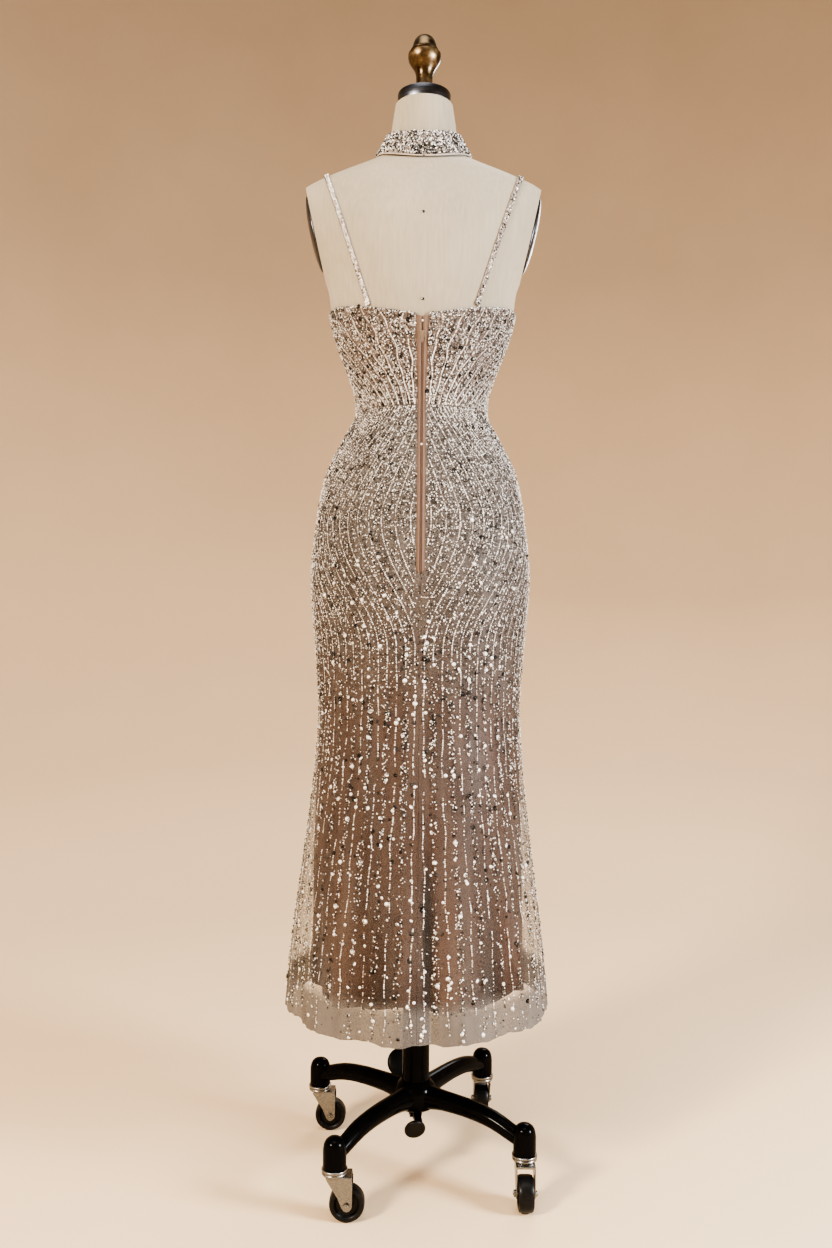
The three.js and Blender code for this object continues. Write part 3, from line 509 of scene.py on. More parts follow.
def on_form(angle, height):
    chest = CHEST["hollow"] * np.clip(-4 * np.sin(angle), 0, 1)
    inside = read(FORM, height) + chest * hump((height - CHEST["height"]) / CHEST["half_height"])
    return on_figure(angle, height, -inside, BUST["form"])


linen = Finish("linen", {"Sheen Weight": 0.25, "Sheen Roughness": 0.5, "Sheen Tint": (0.9, 0.88, 0.84)})
warp = linen.weave("Z", 420, 1.5)
weft = linen.weave("X", 420, 1.5)
slubs = linen.grain(26, 4, (9, 9, 0.6))
cloudy = linen.grain(9, 3)
back_seam = (abs(linen.along("X")) < SEAM_HALF) * (linen.along("Y") > 0)
side_seam = (abs(linen.along("Y")) < SEAM_HALF) * (linen.along("Z") < 1.47)
seam = back_seam + side_seam
pale = linen.tint(slubs * 0.55 + cloudy * 0.45, (0.215, 0.184, 0.134), (0.415, 0.371, 0.292))
pale = linen.tint((warp * weft) * 0.22, pale, (0.58, 0.54, 0.45))
linen.feed({
    "Base Color": linen.tint(seam * 0.28, pale, (0.36, 0.33, 0.28)),
    "Roughness": slubs * 0.12 + 0.78,
})
linen.relief(warp * 0.5 + weft * 0.5 + slubs * 1.5 - seam * 2.5, 0.0004, 0.45)

heights = np.concatenate([np.linspace(0.800, 1.56, 90), np.linspace(1.566, 1.737, 46)])
turns = np.linspace(0, 2 * math.pi, 129)[:-1]
rings = on_form(turns[None, :] + 0 * heights[:, None], heights[:, None] + 0 * turns[None, :])
faces = skin(len(heights), len(turns))
torso = piece("torso_linen", rings.reshape(-1, 3), faces, linen, "form_and_gown", "linen", 45)
width, depth, tall = SHOULDER_BLOCK
lean = Matrix.Rotation(math.atan(ARM_CUT["lean"]), 4, "Y")
place = Matrix.Translation((ARM_CUT["side"], 0, ARM_CUT["height"])) @ lean
place = place @ Matrix.Translation((width / 2, 0, BLOCK_RAISE))
for sign in (1, -1):
    block = bpy.data.meshes.new("block")
    builder = bmesh.new()
    bmesh.ops.create_cube(builder, size=1, matrix=Matrix.Diagonal((width, depth, tall, 1)))
    builder.to_mesh(block)
    builder.free()
    block.transform(Matrix.Diagonal((sign, sign, 1, 1)) @ place)
    cutter = bpy.data.objects.new("cutter", block)
    bpy.context.scene.collection.objects.link(cutter)
    knife = torso.modifiers.new("shoulder", "BOOLEAN")
    knife.object, knife.operation, knife.solver = cutter, "DIFFERENCE", "EXACT"
    bpy.context.view_layer.update()
    cut = bpy.data.meshes.new_from_object(torso.evaluated_get(bpy.context.evaluated_depsgraph_get()))
    torso.modifiers.clear()
    torso.data = cut
    bpy.data.objects.remove(cutter)
torso.data.polygons.foreach_set("use_smooth", [True] * len(torso.data.polygons))
torso.data.set_sharp_from_angle(angle=math.radians(40))
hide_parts("form_torso")

# Pins. The round black glass heads of two dressmaking pins stand in the back seam, one between the shoulders
# and one just above the bodice.
PINS = {"pin_upper": 1.523, "pin_lower": 1.388}
black_glass = Finish("pin_glass", {"Coat Weight": 1.0, "Coat Roughness": 0.05})
black_glass.feed({
    "Base Color": black_glass.tint(black_glass.grain(900, 2), (0.004, 0.004, 0.005), (0.020, 0.018, 0.018)),
    "Roughness": black_glass.grain(500, 2) * 0.1 + 0.1,
})
PIN_PROFILE = [
    (0, -0.0004), (0.0021, -0.0004), (0.0023, 0.0004), (0.0019, 0.0013), (0.0010, 0.0018), (0, 0.0020),
]
for name, height in PINS.items():
    centre = on_form(np.array(math.pi / 2), np.array(height))
    head = moved(spun(PIN_PROFILE, 20), Matrix.Rotation(-math.pi / 2, 4, "X"), Matrix.Translation(centre))
    piece(name, *head, black_glass, "form_and_gown", "black_enamel")

# Arm plates and neck cap. Dark brushed steel covers, domed over the cut shoulders and flat on the neck.
# Inside a rim of bare linen they are held by one screw each from within, so that nothing shows.
ARM_PLATE = {"height": 1.526, "half_height": 0.062, "half_depth": 0.043}
PLATE_PROFILE = [
    (0, 0.0003), (0.0612, 0.0003), (0.0620, 0.0009), (0.0620, 0.0018), (0.0613, 0.0026), (0.0570, 0.0041),
    (0.0496, 0.0057), (0.0400, 0.0072), (0.0290, 0.0083), (0.0150, 0.0088), (0, 0.0090),
]
CAP_PROFILE = [
    (0, 1.7373), (0.0420, 1.7373), (0.0432, 1.7378), (0.0436, 1.7392), (0.0436, 1.7470), (0.0436, 1.7548),
    (0.0431, 1.7562), (0.0418, 1.7570), (0.0200, 1.7570), (0, 1.7570),
]
dark_steel = Finish("dark_steel", {
    "Metallic": 1.0, "Anisotropic": 0.5, "Coat Weight": 0.2, "Coat Roughness": 0.15,
})
brushed = dark_steel.grain(40, 4, (1, 1, 14))
dark_steel.feed({
    "Base Color": dark_steel.tint(brushed, (0.030, 0.033, 0.040), (0.125, 0.135, 0.160)),
    "Roughness": brushed * 0.2 + 0.22,
})
dark_steel.relief(brushed, 0.0003, 0.2)
for side, sign in (("left", 1), ("right", -1)):
    across = ARM_CUT["side"] + (ARM_PLATE["height"] - ARM_CUT["height"]) * ARM_CUT["lean"]
    plate_body = moved(
        spun(PLATE_PROFILE, 64),
        Matrix.Diagonal((1, ARM_PLATE["half_depth"] / ARM_PLATE["half_height"], 1, 1)),
        Matrix.Rotation(math.pi / 2 + math.atan(ARM_CUT["lean"]), 4, "Y"),
        Matrix.Translation((across, 0, ARM_PLATE["height"])),
        Matrix.Rotation(0 if sign > 0 else math.pi, 4, "Z"),
    )
    made = piece("shoulder_plate_" + side, *plate_body, dark_steel, "form_and_gown", "dark_steel")
    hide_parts("arm_plate_" + side)
cap = piece("neck_plate", *spun(CAP_PROFILE, 72), dark_steel, "form_and_gown", "dark_steel")
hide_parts("neck_cap")

# Finial. A turned brass knob on a narrow waisted foot screws into the neck cap. Its lacquer has browned, most
# of all in the grooves under the upper bulb.
FINIAL_PROFILE = [
    (0, 1.7573), (0.0160, 1.7573), (0.0165, 1.7578), (0.0165, 1.7608), (0.0158, 1.7620), (0.0142, 1.7640),
    (0.0136, 1.7665), (0.0136, 1.7860), (0.0139, 1.7885), (0.0152, 1.7935), (0.0168, 1.7975), (0.0200, 1.8025),
    (0.0235, 1.8075), (0.0258, 1.8120), (0.0268, 1.8165), (0.0271, 1.8205), (0.0268, 1.8235), (0.0250, 1.8252),
    (0.0222, 1.8262), (0.0218, 1.8274), (0.0228, 1.8284), (0.0228, 1.8300), (0.0218, 1.8312), (0.0205, 1.8330),
    (0.0198, 1.8362), (0.0186, 1.8405), (0.0166, 1.8456), (0.0140, 1.8492), (0.0105, 1.8520), (0.0060, 1.8535),
    (0, 1.8540),
]
brass = Finish("old_brass", {"Metallic": 1.0, "Coat Weight": 0.25, "Coat Roughness": 0.25})
cast = brass.grain(70, 5)
upper = brass.climb(1.80, 1.83)
brass.feed({
    "Base Color": brass.ramp(cast, [
        (0.30, (0.030, 0.020, 0.011)), (0.52, (0.115, 0.078, 0.042)), (0.75, (0.27, 0.200, 0.115)),
    ]),
    "Roughness": cast * 0.35 + upper * 0.08 + 0.16,
})
brass.relief(cast, 0.0010, 0.35)
finial = piece("finial_knob", *spun(FINIAL_PROFILE, 64), brass, "form_and_gown", "old_brass")
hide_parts("finial")

# Lining. A nude satin slip in three panels hangs inside the net. It is narrower than the net and stops
# above the net's hem, and its cut edge swings in angular folds.

# Its folds and the net's flutes: the middle and half the width in degrees, how far it comes out and the
# height it starts at in millimetres.
LINING_FOLDS = [
    (20, 14, -9, 470), (48, 13, 7, 500), (75, 13, -10, 520), (104, 14, 8, 540), (133, 14, -10, 480),
    (161, 14, 7, 500), (192, 16, -9, 470), (226, 16, 7, 500), (262, 17, -9, 520), (298, 17, 7, 480),
    (334, 16, -8, 500),
]
FLUTES = [
    (4, 13, 3, 640), (27, 12, -7, 560), (47, 11, 6, 600), (66, 10, -6, 520), (82, 9, 6, 680), (96, 8, -10, 700),
    (110, 9, 6, 640), (129, 11, -6, 540), (151, 11, 6, 600), (176, 13, 3, 560), (199, 11, -5, 620),
    (222, 12, 5, 580), (245, 12, -6, 640), (268, 11, 3.5, 600), (291, 12, -6, 620), (315, 12, 6, 560),
    (340, 11, -5, 600),
]
HEM, LINING_HEM, WAIST = 0.268, 0.312, 1.230
LINING_THICK, CRUMPLE = 0.0006, 0.0012
DEEPENING = 1.4
HEM_RISE, HEM_REACH = 0.006, 0.060
# The painted shade of one deep pleat at the back: its angle, half width, height, half height and how dark.
PLEAT_SHADE = {"angle": 95, "half_angle": 0.06, "height": 0.43, "half_height": 0.19, "depth": 1.6}
SEAM_GAP = 0.0003

# The strip between the edges of the two back panels: a height and half its width there.
ZIP_STRIP = np.array([
    (0.240, 0.00015), (0.962, 0.00015), (0.968, 0.0070), (1.090, 0.0070), (1.230, 0.0065), (1.366, 0.0100),
    (1.400, 0.0100),
])

# How many columns of squares each skirt panel has.
PANELS = {"front": 116, "back_left": 58, "back_right": 58}


def closed(outer, inner):
    """Points and faces of a thin shell between two grids, with a rim all round."""
    rows, columns = outer.shape[:2]
    behind = rows * columns
    points = np.concatenate([outer.reshape(-1, 3), inner.reshape(-1, 3)])
    at = np.arange(behind).reshape(rows, columns)
    quads = np.stack([at[:-1, :-1], at[:-1, 1:], at[1:, 1:], at[1:, :-1]], -1).reshape(-1, 4)
    border = np.concatenate([at[0, :-1], at[:-1, -1], at[-1, :0:-1], at[:0:-1, 0]])
    after = np.roll(border, -1)
    rim = np.stack([after, border, border + behind, after + behind], -1)
    faces = np.concatenate([quads, quads[:, ::-1] + behind, rim])
    corner = points[faces]
    volume = sum(
        np.einsum("ij,ij->", corner[:, 0], np.cross(corner[:, k], corner[:, k + 1])) for k in (1, 2)
    )
    return points, faces if volume > 0 else faces[:, ::-1]


def angle_at(across, height, facing):
    return facing * np.arccos(np.clip(across / read(SIDE, height), -1, 1))


def panel_span(panel, height):
    """Where a panel starts and finishes round the body at a height."""
    strip = np.interp(height, ZIP_STRIP[:, 0], ZIP_STRIP[:, 1])
    side = SEAM_GAP / 2 / read(SIDE, height)
    middle = angle_at(strip, height, 1)
    spans = {
        "front": (-math.pi + side, -side),
        "back_left": (side, middle),
        "back_right": (math.pi - middle, math.pi - side),
    }
    return spans[panel]


def folded(folds, hem, angle, height):
    """How far the folds bring the cloth out. They deepen towards the hem."""
    out = 0.0
    for middle, half, depth, top in folds:
        down = np.clip((top / 1000 - height) / (top / 1000 - hem), 0, 1) ** DEEPENING
        out = out + depth / 1000 * down * hump(turn_between(angle, middle) / math.radians(half))
    return out


def lining_at(angle, height, inside=0.0):
    crumple = np.clip((0.60 - height) / 0.29, 0, 1) * CRUMPLE
    crumple = crumple * (np.sin(31 * angle + 9 * height) + np.sin(19 * angle - 14 * height + 2))
    out = folded(LINING_FOLDS, LINING_HEM, angle, height) + crumple
    return on_figure(angle, height, out - read(LINING, height) - inside)


def panel_grid(panel, heights, hem, waves):
    """Angles and heights of a skirt panel. Its hem lifts a little at the back, and waves make it uneven."""
    height = heights[:, None]
    start, finish = panel_span(panel, height)
    angle = start + (finish - start) * np.linspace(0, 1, PANELS[panel] + 1)
    near = np.clip(1 - (height - hem) / HEM_REACH, 0, 1)
    uneven = sum(size * np.sin(times * angle + start) for size, times, start in waves)
    return angle, height + near * (np.maximum(np.sin(angle), 0) * HEM_RISE + uneven)


def with_value(made, name, values):
    """Stores a value at each vertex for the material, the same on both faces of a shell."""
    made.data.attributes.new(name, "FLOAT", "POINT").data.foreach_set("value", np.tile(values.ravel(), 2))


def shadow(angle, height):
    """Painted light and shade on the folds from about -1 to 1, with one pleat at the back painted deep."""
    lit = (folded(LINING_FOLDS, LINING_HEM, angle, height) + folded(FLUTES, HEM, angle, height)) / 0.012
    pleat = hump(turn_between(angle, PLEAT_SHADE["angle"]) / PLEAT_SHADE["half_angle"])
    return lit - PLEAT_SHADE["depth"] * pleat * hump((height - PLEAT_SHADE["height"]) / PLEAT_SHADE["half_height"])


satin = Finish("lining_satin", {"Anisotropic": 0.3, "Specular IOR Level": 0.35})
# The drape noise paints soft streaks of fold shade into the colour, and also raises a relief.
drape_and_shade = satin.grain(7, 3, (5, 5, 0.5))
threads = satin.grain(500, 2, (1, 1, 0.1))
# Painted light and shade: the lining is darker in fold valleys and the pleat, lighter on crests.
satin.feed({
    "Base Color": satin.ramp(satin.stored("lit") * 0.34 + drape_and_shade * 0.5 + 0.22, [
        (0.0, (0.008, 0.003, 0.002)), (0.35, (0.048, 0.018, 0.008)), (0.65, (0.105, 0.043, 0.020)),
        (1.0, (0.23, 0.105, 0.054)),
    ]),
    "Roughness": threads * 0.12 + 0.36,
})
satin.relief(threads * 0.3 + drape_and_shade * 2, 0.0006, 0.35)

lining_heights = np.concatenate([
    np.linspace(LINING_HEM - 0.009, 0.70, 34), np.linspace(0.715, 0.962, 14),
    np.linspace(0.968, WAIST - SEAM_GAP / 2, 20),
])
for panel in PANELS:
    angle, height = panel_grid(panel, lining_heights, LINING_HEM, [(0.0045, 5, 0.4), (0.0030, 12, 2)])
    shell = closed(lining_at(angle, height), lining_at(angle, height, LINING_THICK))
    made = piece("slip_" + panel, *shell, satin, "form_and_gown", "lining_satin")
    with_value(made, "lit", shadow(angle, height))
    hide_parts("lining_" + panel)
    cut = ((0.66, 0.935), 0.425) if panel == "front" else ((0.34, 0.935), 0.2185)

# Net skirt. Three panels of silver-grey net hang in flutes to a raw hem. The ground is a fine hexagon mesh
# that the lining shows through, with tiny beads worked all over it, closer towards the waist.
NET_THICK, RIPPLE = 0.0005, 0.0007
VEIL = {"height": 0.026, "depth": 4.6}


def net_at(angle, height, inside=0.0):
    ripple = np.clip((0.80 - height) / 0.5, 0, 1) * RIPPLE
    ripple = ripple * (np.sin(47 * angle + 5 * height) + np.sin(71 * angle - 8 * height + 1))
    return on_figure(angle, height, folded(FLUTES, HEM, angle, height) + ripple - inside)


def crowd(height):
    """How closely the ground is beaded at a height of the skirt, from 0 to 1."""
    return 0.02 + 0.62 * np.clip((height - 0.74) / 0.40, 0, 1)


def seeded_ground(finish, cloth, size):
    """Tiny beads over a ground of the finish: every cell of a fine pattern may hold one. Gives their mask."""
    cells, tone = finish.cells(1 / size), finish.cells(1 / size, "Color")
    chance, choice = (finish.node("ShaderNodeSeparateColor", {}, {0: tone}, channel) for channel in (0, 1))
    bead = (chance < finish.stored("beaded")) * (cells < 0.42)
    shade = finish.ramp(choice, [
        (0.0, (0.010, 0.009, 0.008)), (0.34, (0.11, 0.095, 0.085)), (0.52, (0.42, 0.385, 0.355)),
        (0.68, (0.82, 0.79, 0.76)), (0.90, (0.98, 0.96, 0.94)),
    ], steps=True)
    finish.feed({
        "Base Color": finish.tint(bead, cloth, shade),
        "Metallic": bead * 0.45,
        "Roughness": finish.node("ShaderNodeMix", {}, {0: bead, 2: 0.72, 3: 0.24}),
    })
    finish.relief(bead * (1 - cells * 2), 0.0009, 0.8)
    return bead


net = Finish("beaded_net", {"Specular IOR Level": 0.3})
hexagons = net.cells(620, feature="DISTANCE_TO_EDGE") < 0.06
cloud = net.grain(11, 3, (3, 3, 0.6))
tiny_beads = seeded_ground(net, net.tint(cloud, (0.085, 0.070, 0.060), (0.22, 0.200, 0.186)), 0.0024)
# Partly painted highlight and shade: lit thickens the net on crests, where layers overlap, thins it in valleys.
cover = tiny_beads + hexagons * 0.42 + cloud * 0.10 + net.stored("lit") * 0.13 + net.stored("beaded") * 0.6
net.feed({"Alpha": net.node("ShaderNodeClamp", {}, {0: cover})})

net_heights = np.concatenate([
    np.linspace(HEM, 0.70, 44), np.linspace(0.712, 0.962, 20), np.linspace(0.968, WAIST - SEAM_GAP / 2, 26),
])
nets = {}
for panel in PANELS:
    angle, height = panel_grid(panel, net_heights, HEM, [(0.0012, 17, 0), (0.0007, 41, 1), (0.0004, 73, 2)])
    shell = closed(net_at(angle, height), net_at(angle, height, NET_THICK))
    made = piece("net_" + panel, *shell, net, "form_and_gown", "beaded_net")
    unlined = smooth((LINING_HEM + VEIL["height"] - height) / VEIL["height"])
    with_value(made, "beaded", crowd(height))
    with_value(made, "lit", shadow(angle, height) + VEIL["depth"] * unlined)
    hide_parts("skirt_" + panel)
    nets[panel] = made

# Skirt beads. Strings of tiny silvered beads alternate with bands of scattered ones. Beside each string
# a finer row of dark beads paints its shadow. They stand upright below the hip, lean out over it and close
# in at the waist, and end unevenly above the hem. Round sequins, bright or nearly black, are sewn between.
seeded = np.random.default_rng(11)
ROW_STEP = 1 / 17
ROWS, LAST_FULL = 68, 17
LOWEST = HEM + 0.008
STRUNG_ROWS = list(range(-3, LAST_FULL + 1)) + list(range(LAST_FULL + 3, ROWS, 8))
BACK_PITCH, FRONT_PITCH = 0.0026, 0.0034
BACK_DENSITY, FRONT_DENSITY = 98000, 56000
BAND_TOP = 0.80
STRING_CLEAR, ZIP_CLEAR = 0.0036, 0.0025
SPOTTED_ROWS = 48
# The dark beads that paint each string's shadow: how far aside and above, their size and how far out.
SHADOW_ROW = {"aside": 0.0024, "above": 0.0011, "size": 0.62, "flank": 0.80}


def unit(rows):
    return rows / np.linalg.norm(rows, axis=1, keepdims=True)


def beads(name, places, normals, sizes, finish, slot, flat=0.62, tilt=0.35, sides=3):
    """Faceted beads as one piece. Each is a double cone with its flat side on the cloth."""
    count = len(places)
    up = unit(normals + tilt * (seeded.random((count, 3)) - 0.5) * 2)
    first = unit(np.cross(up, seeded.random((count, 3)) - 0.5))
    second = np.cross(up, first)
    half = (sizes / 2)[:, None, None]
    turn = np.arange(sides) / sides * 2 * math.pi
    centre = places + normals * (sizes * flat / 2)[:, None]
    rim = first[:, None] * np.cos(turn)[:, None] + second[:, None] * np.sin(turn)[:, None]
    tips = np.stack([up, -up], axis=1) * flat
    points = (centre[:, None] + half * np.concatenate([rim, tips], axis=1)).reshape(-1, 3)
    k = np.arange(sides)
    n = (k + 1) % sides
    top = np.stack([k, n, 0 * k + sides], -1)
    bottom = np.stack([n, k, 0 * k + sides + 1], -1)
    before = (np.arange(count) * (sides + 2))[:, None, None]
    faces = (np.concatenate([top, bottom])[None] + before).reshape(-1, 3)
    return piece(name, points, faces, finish, "form_and_gown", slot, crease=0)


def facing_out(surface, across, up, steps=(0.004, 0.001)):
    """The outward normals of a surface, from points one step to each side and one step up and down."""
    around = surface(across + steps[0], up) - surface(across - steps[0], up)
    rise = surface(across, up + steps[1]) - surface(across, up - steps[1])
    return unit(np.cross(around, rise))


def angle_of(share, height, facing, way):
    """The angle at a share of the arc from the centre of the back or front to the side seam."""
    steps = 32
    middle = (np.arange(steps) + 0.5) / steps * math.pi / 2
    side, deep = read(SIDE, height)[:, None], read(BACK if facing > 0 else FRONT, height)[:, None]
    length = np.cumsum(np.hypot(side * np.cos(middle), deep * np.sin(middle)), axis=1)
    length = np.concatenate([np.zeros((len(share), 1)), length / length[:, -1:]], axis=1)
    k = np.clip((length < share[:, None]).sum(axis=1) - 1, 0, steps - 1)
    each = np.arange(len(share))
    part = (share - length[each, k]) / (length[each, k + 1] - length[each, k])
    turn = (k + part) / steps * math.pi / 2
    return facing * (math.pi / 2) - facing * way * turn


def row_share(home, height):
    """Where a bead row runs: its share of the arc at a height, from its share below the hip."""
    hip = np.where(home < 1, 1 - 0.7 * np.abs(1 - home) ** 2.1, 1 + 0.25 * (home - 1))
    waist = home / (1 + 0.8 * home)
    over = home + smooth((height - 0.85) / 0.20) * (hip - home)
    return over + (waist - hip) * np.clip((height - 1.06) / 0.17, 0, 1) ** 1.2


def half_arc(height, facing):
    side, deep = read(SIDE, height), read(BACK if facing > 0 else FRONT, height)
    return (side + deep) * math.pi / 4


def skirt_strings(facing):
    """Shares, heights and sizes of the beads strung in lines on half a back or front."""
    found = []
    for number in STRUNG_ROWS:
        start = LOWEST + 0.040 * seeded.random() ** 1.5
        if number % 2:
            start = BAND_TOP - 0.03 + 0.07 * seeded.random()
        height = np.arange(start, WAIST - 0.001, BACK_PITCH if facing > 0 else FRONT_PITCH)
        bare = np.sin(height * (23 + 9 * seeded.random()) + 6 * seeded.random()) > 0.96
        kept = seeded.random(len(height)) < np.where(height < 0.84, 0.74, 0.96)
        height = height[kept & ~(bare & (height < BAND_TOP))]
        sway = 0.0048 * np.sin(height * 38 + 6 * seeded.random())
        sway = sway + 0.0030 * np.sin(height * 91 + 6 * seeded.random())
        home = (number + 0.5) * ROW_STEP + sway * np.clip((0.9 - height) / 0.2, 0, 1)
        share = row_share(home, height) + (seeded.random(len(height)) - 0.5) * 0.0022
        found.append(np.stack([share, height, 0.0020 + 0.0014 * seeded.random(len(height)) ** 1.5], axis=1))
    return np.concatenate(found)


def shaded_sides(strings, facing):
    """Finer dark beads painting each string's shadow on its outer side, close above the hip and sparse below.
    """
    share, height, size = strings.T
    kept = (seeded.random(len(share)) < np.where(height > 0.82, 0.9, 0.22)) & (share < SHADOW_ROW["flank"])
    aside = SHADOW_ROW["aside"] / (2 * half_arc(height, facing)) * (1 + 0.3 * seeded.random(len(share)))
    return np.stack([share + aside, height + SHADOW_ROW["above"], size * SHADOW_ROW["size"]], axis=1)[kept]


def skirt_scatter(facing, density):
    """Shares, heights and sizes of scattered beads: in bands low down, and clear of the strings above."""
    tall, widest = WAIST - HEM, ROWS * ROW_STEP + 0.2
    count = int(density * tall * 0.24 * widest * 2)
    home, height = widest * seeded.random(count) - 0.2, LOWEST + (tall - 0.009) * seeded.random(count)
    closer = (row_share(home + 0.001, height) - row_share(home - 0.001, height)) / 0.002
    row = home / ROW_STEP - 0.5
    width = ROW_STEP * closer * half_arc(height, facing)
    from_string = np.abs(row - np.round(row)) * width
    unstrung = (np.round(row) > LAST_FULL) | ((np.round(row) % 2 == 1) & (height < BAND_TOP))
    from_string = np.where(unstrung, 1, from_string)
    from_band = np.abs((row % 2) - 1) * width
    above = smooth((height - 0.72) / 0.16)
    band = np.round((row - 1) / 2)
    end = LOWEST + 0.046 * np.sin(37 * band + facing) ** 2
    half_width = 0.0044 + 0.0014 * np.sin(band * 5 + height * 21)
    wanted = np.where((from_band < half_width) & (height > end), 1.0, 0.030)
    wanted = wanted + (0.45 + 0.55 * crowd(height) - wanted) * above
    kept = (seeded.random(count) < closer / 2) & (seeded.random(count) < wanted)
    kept &= from_string > np.minimum(STRING_CLEAR, 0.27 * width)
    size = 0.0020 + 0.0018 * seeded.random(count) ** 1.2 + 0.0003 * (1 - above)
    return np.stack([row_share(home, height), height, size], axis=1)[kept]


def skirt_spots(count, high, rise, small, large, crowding):
    """Shares, heights and sizes of sequins, most of them on the rows."""
    number = np.floor(SPOTTED_ROWS * seeded.random(count) ** crowding)
    height = HEM + 0.006 + (high - HEM) * seeded.random(count) ** rise
    home = (number + 0.5 + 0.16 * seeded.standard_normal(count)) * ROW_STEP
    size = small + (large - small) * seeded.random(count) ** 1.5
    return np.stack([row_share(home, height), height, size], axis=1)


def clear_of_zip(share, angle, height):
    """Beads keep off the zip, the bare strip under it and the side seams."""
    across = np.abs(np.cos(angle)) * read(SIDE, height)
    strip = np.interp(height, ZIP_STRIP[:, 0], ZIP_STRIP[:, 1]) + ZIP_CLEAR
    strip = np.maximum(strip, np.interp(height, (0.86, 0.89, 0.97), (0.0025, 0.008, 0.010)))
    return (share > 0) & (share < 0.995) & ((across > strip) | (np.sin(angle) < 0))


# Tones differ at random from bead to bead; the near-white ones are a painted glint of the lights.
glass = Finish("silvered_glass", {"Specular IOR Level": 0.8, "Coat Weight": 0.4, "Coat Roughness": 0.05})
each = glass.by_bead()
glass.feed({
    "Base Color": glass.ramp(each, [
        (0.0, (0.005, 0.004, 0.004)), (0.27, (0.065, 0.057, 0.050)), (0.46, (0.27, 0.250, 0.230)),
        (0.60, (0.70, 0.68, 0.655)), (0.76, (1.0, 1.0, 0.99)),
    ], steps=True),
    "Metallic": glass.grain(700, 1) * 0.4 * (each > 0.34),
    "Roughness": each * 0.18 + 0.14,
})
# The strung beads are mostly near white, a painted glint of the lights, in tones that differ at random.
strung = Finish("strung_glass", {"Specular IOR Level": 0.8, "Coat Weight": 0.5, "Coat Roughness": 0.06})
along_string = strung.by_bead()
strung.feed({
    "Base Color": strung.ramp(along_string, [
        (0.0, (0.24, 0.20, 0.18)), (0.14, (0.62, 0.57, 0.53)), (0.40, (0.84, 0.80, 0.77)),
        (0.70, (1.0, 0.98, 0.96)),
    ], steps=True),
    "Metallic": strung.grain(700, 1) * 0.15,
    "Roughness": along_string * 0.15 + 0.15,
})
# Painted glint: the bright sequins' near-white colour stands in for the lights reflected in them.
bright = Finish("bright_sequin", {"Coat Weight": 0.5, "Coat Roughness": 0.05})
flake = bright.by_bead()
bright.feed({
    "Base Color": bright.ramp(flake, [
        (0.0, (0.80, 0.78, 0.76)), (0.4, (0.98, 0.97, 0.96)), (1.0, (1.0, 1.0, 1.0)),
    ]),
    "Metallic": bright.grain(400, 1) * 0.25,
    "Roughness": flake * 0.15 + 0.18,
})
jet = Finish("dark_sequin", {"Coat Weight": 0.1, "Coat Roughness": 0.06, "Specular IOR Level": 0.4})
speck = jet.by_bead()
jet.feed({
    "Base Color": jet.ramp(speck, [
        (0.0, (0.005, 0.0045, 0.004)), (0.6, (0.016, 0.014, 0.013)), (1.0, (0.060, 0.054, 0.050)),
    ]),
    "Metallic": jet.grain(400, 1) * 0.2,
    "Roughness": speck * 0.15 + 0.16,
})


def sewn(name, facing, way, table, finish, **shape):
    """Beads on one half of the net's back or front, from their shares, heights and sizes."""
    share, height, size = table[(table[:, 0] > 0) & (table[:, 0] < 0.995)].T
    angle = angle_of(share, height, facing, way)
    kept = clear_of_zip(share, angle, height)
    angle, height, size = angle[kept], height[kept], size[kept]
    places, out = net_at(angle, height), facing_out(net_at, angle, height)
    return beads(name, places, out, size, finish, "beadwork", **shape)


# For half a back or front: whether it faces back, and which way it goes round from the middle.
HALVES = {"back_left": (1, 1), "back_right": (1, -1), "front_left": (-1, 1), "front_right": (-1, -1)}
DISC = {"flat": 0.16, "tilt": 0.5, "sides": 9}

# The finish of each kind, how many are sewn on half a back and half a front, then how high they reach, how
# much they crowd downward, the smallest and the largest, and how much they crowd to the middle.
SEQUINS = {
    "bright": (bright, (560, 300), (1.06, 1.15, 0.0040, 0.0078, 1.25)),
    "dark": (jet, (1150, 620), (1.20, 0.66, 0.0036, 0.0080, 1.0)),
}
on_net = {panel: [] for panel in PANELS}
for half, (facing, way) in HALVES.items():
    rear = facing > 0
    lines = skirt_strings(facing)
    strings = sewn("strings_" + half, facing, way, lines, strung, tilt=0.1, sides=4)
    # Finer dark beads beside each string paint its shadow.
    sides = sewn("dark_rows_" + half, facing, way, shaded_sides(lines, facing), jet, tilt=0.1)
    scatter = skirt_scatter(facing, BACK_DENSITY if rear else FRONT_DENSITY)
    on_panel = on_net[half if rear else "front"]
    on_panel += [strings, sides, sewn("beads_" + half, facing, way, scatter, glass)]
    for kind, (finish, counts, spread) in SEQUINS.items():
        spots = skirt_spots(counts[0 if rear else 1], *spread)
        on_panel.append(sewn(f"sequins_{kind}_{half}", facing, way, spots, finish, **DISC))
for panel, made in nets.items():
    cut = ((0.72, 0.98), 0.4815) if panel == "front" else ((0.37, 0.98), 0.247)

# Bodice. A nude net over a boned lining, beaded so closely that the ground shows as fine gaps. The front is
# one panel cut as a halter, and the low back has one on each side of the zip. The side seams are curved.
BACK_TOP = {"middle": 1.366, "side": 1.395, "curve": 1.2}

# Heights of the halter's cut edge, and how far from the middle it is there.
HALTER_EDGE = np.array([
    (1.395, 0.152), (1.400, 0.149), (1.409, 0.143), (1.430, 0.130), (1.452, 0.119), (1.475, 0.109),
    (1.520, 0.093), (1.558, 0.081), (1.582, 0.073), (1.640, 0.062),
])

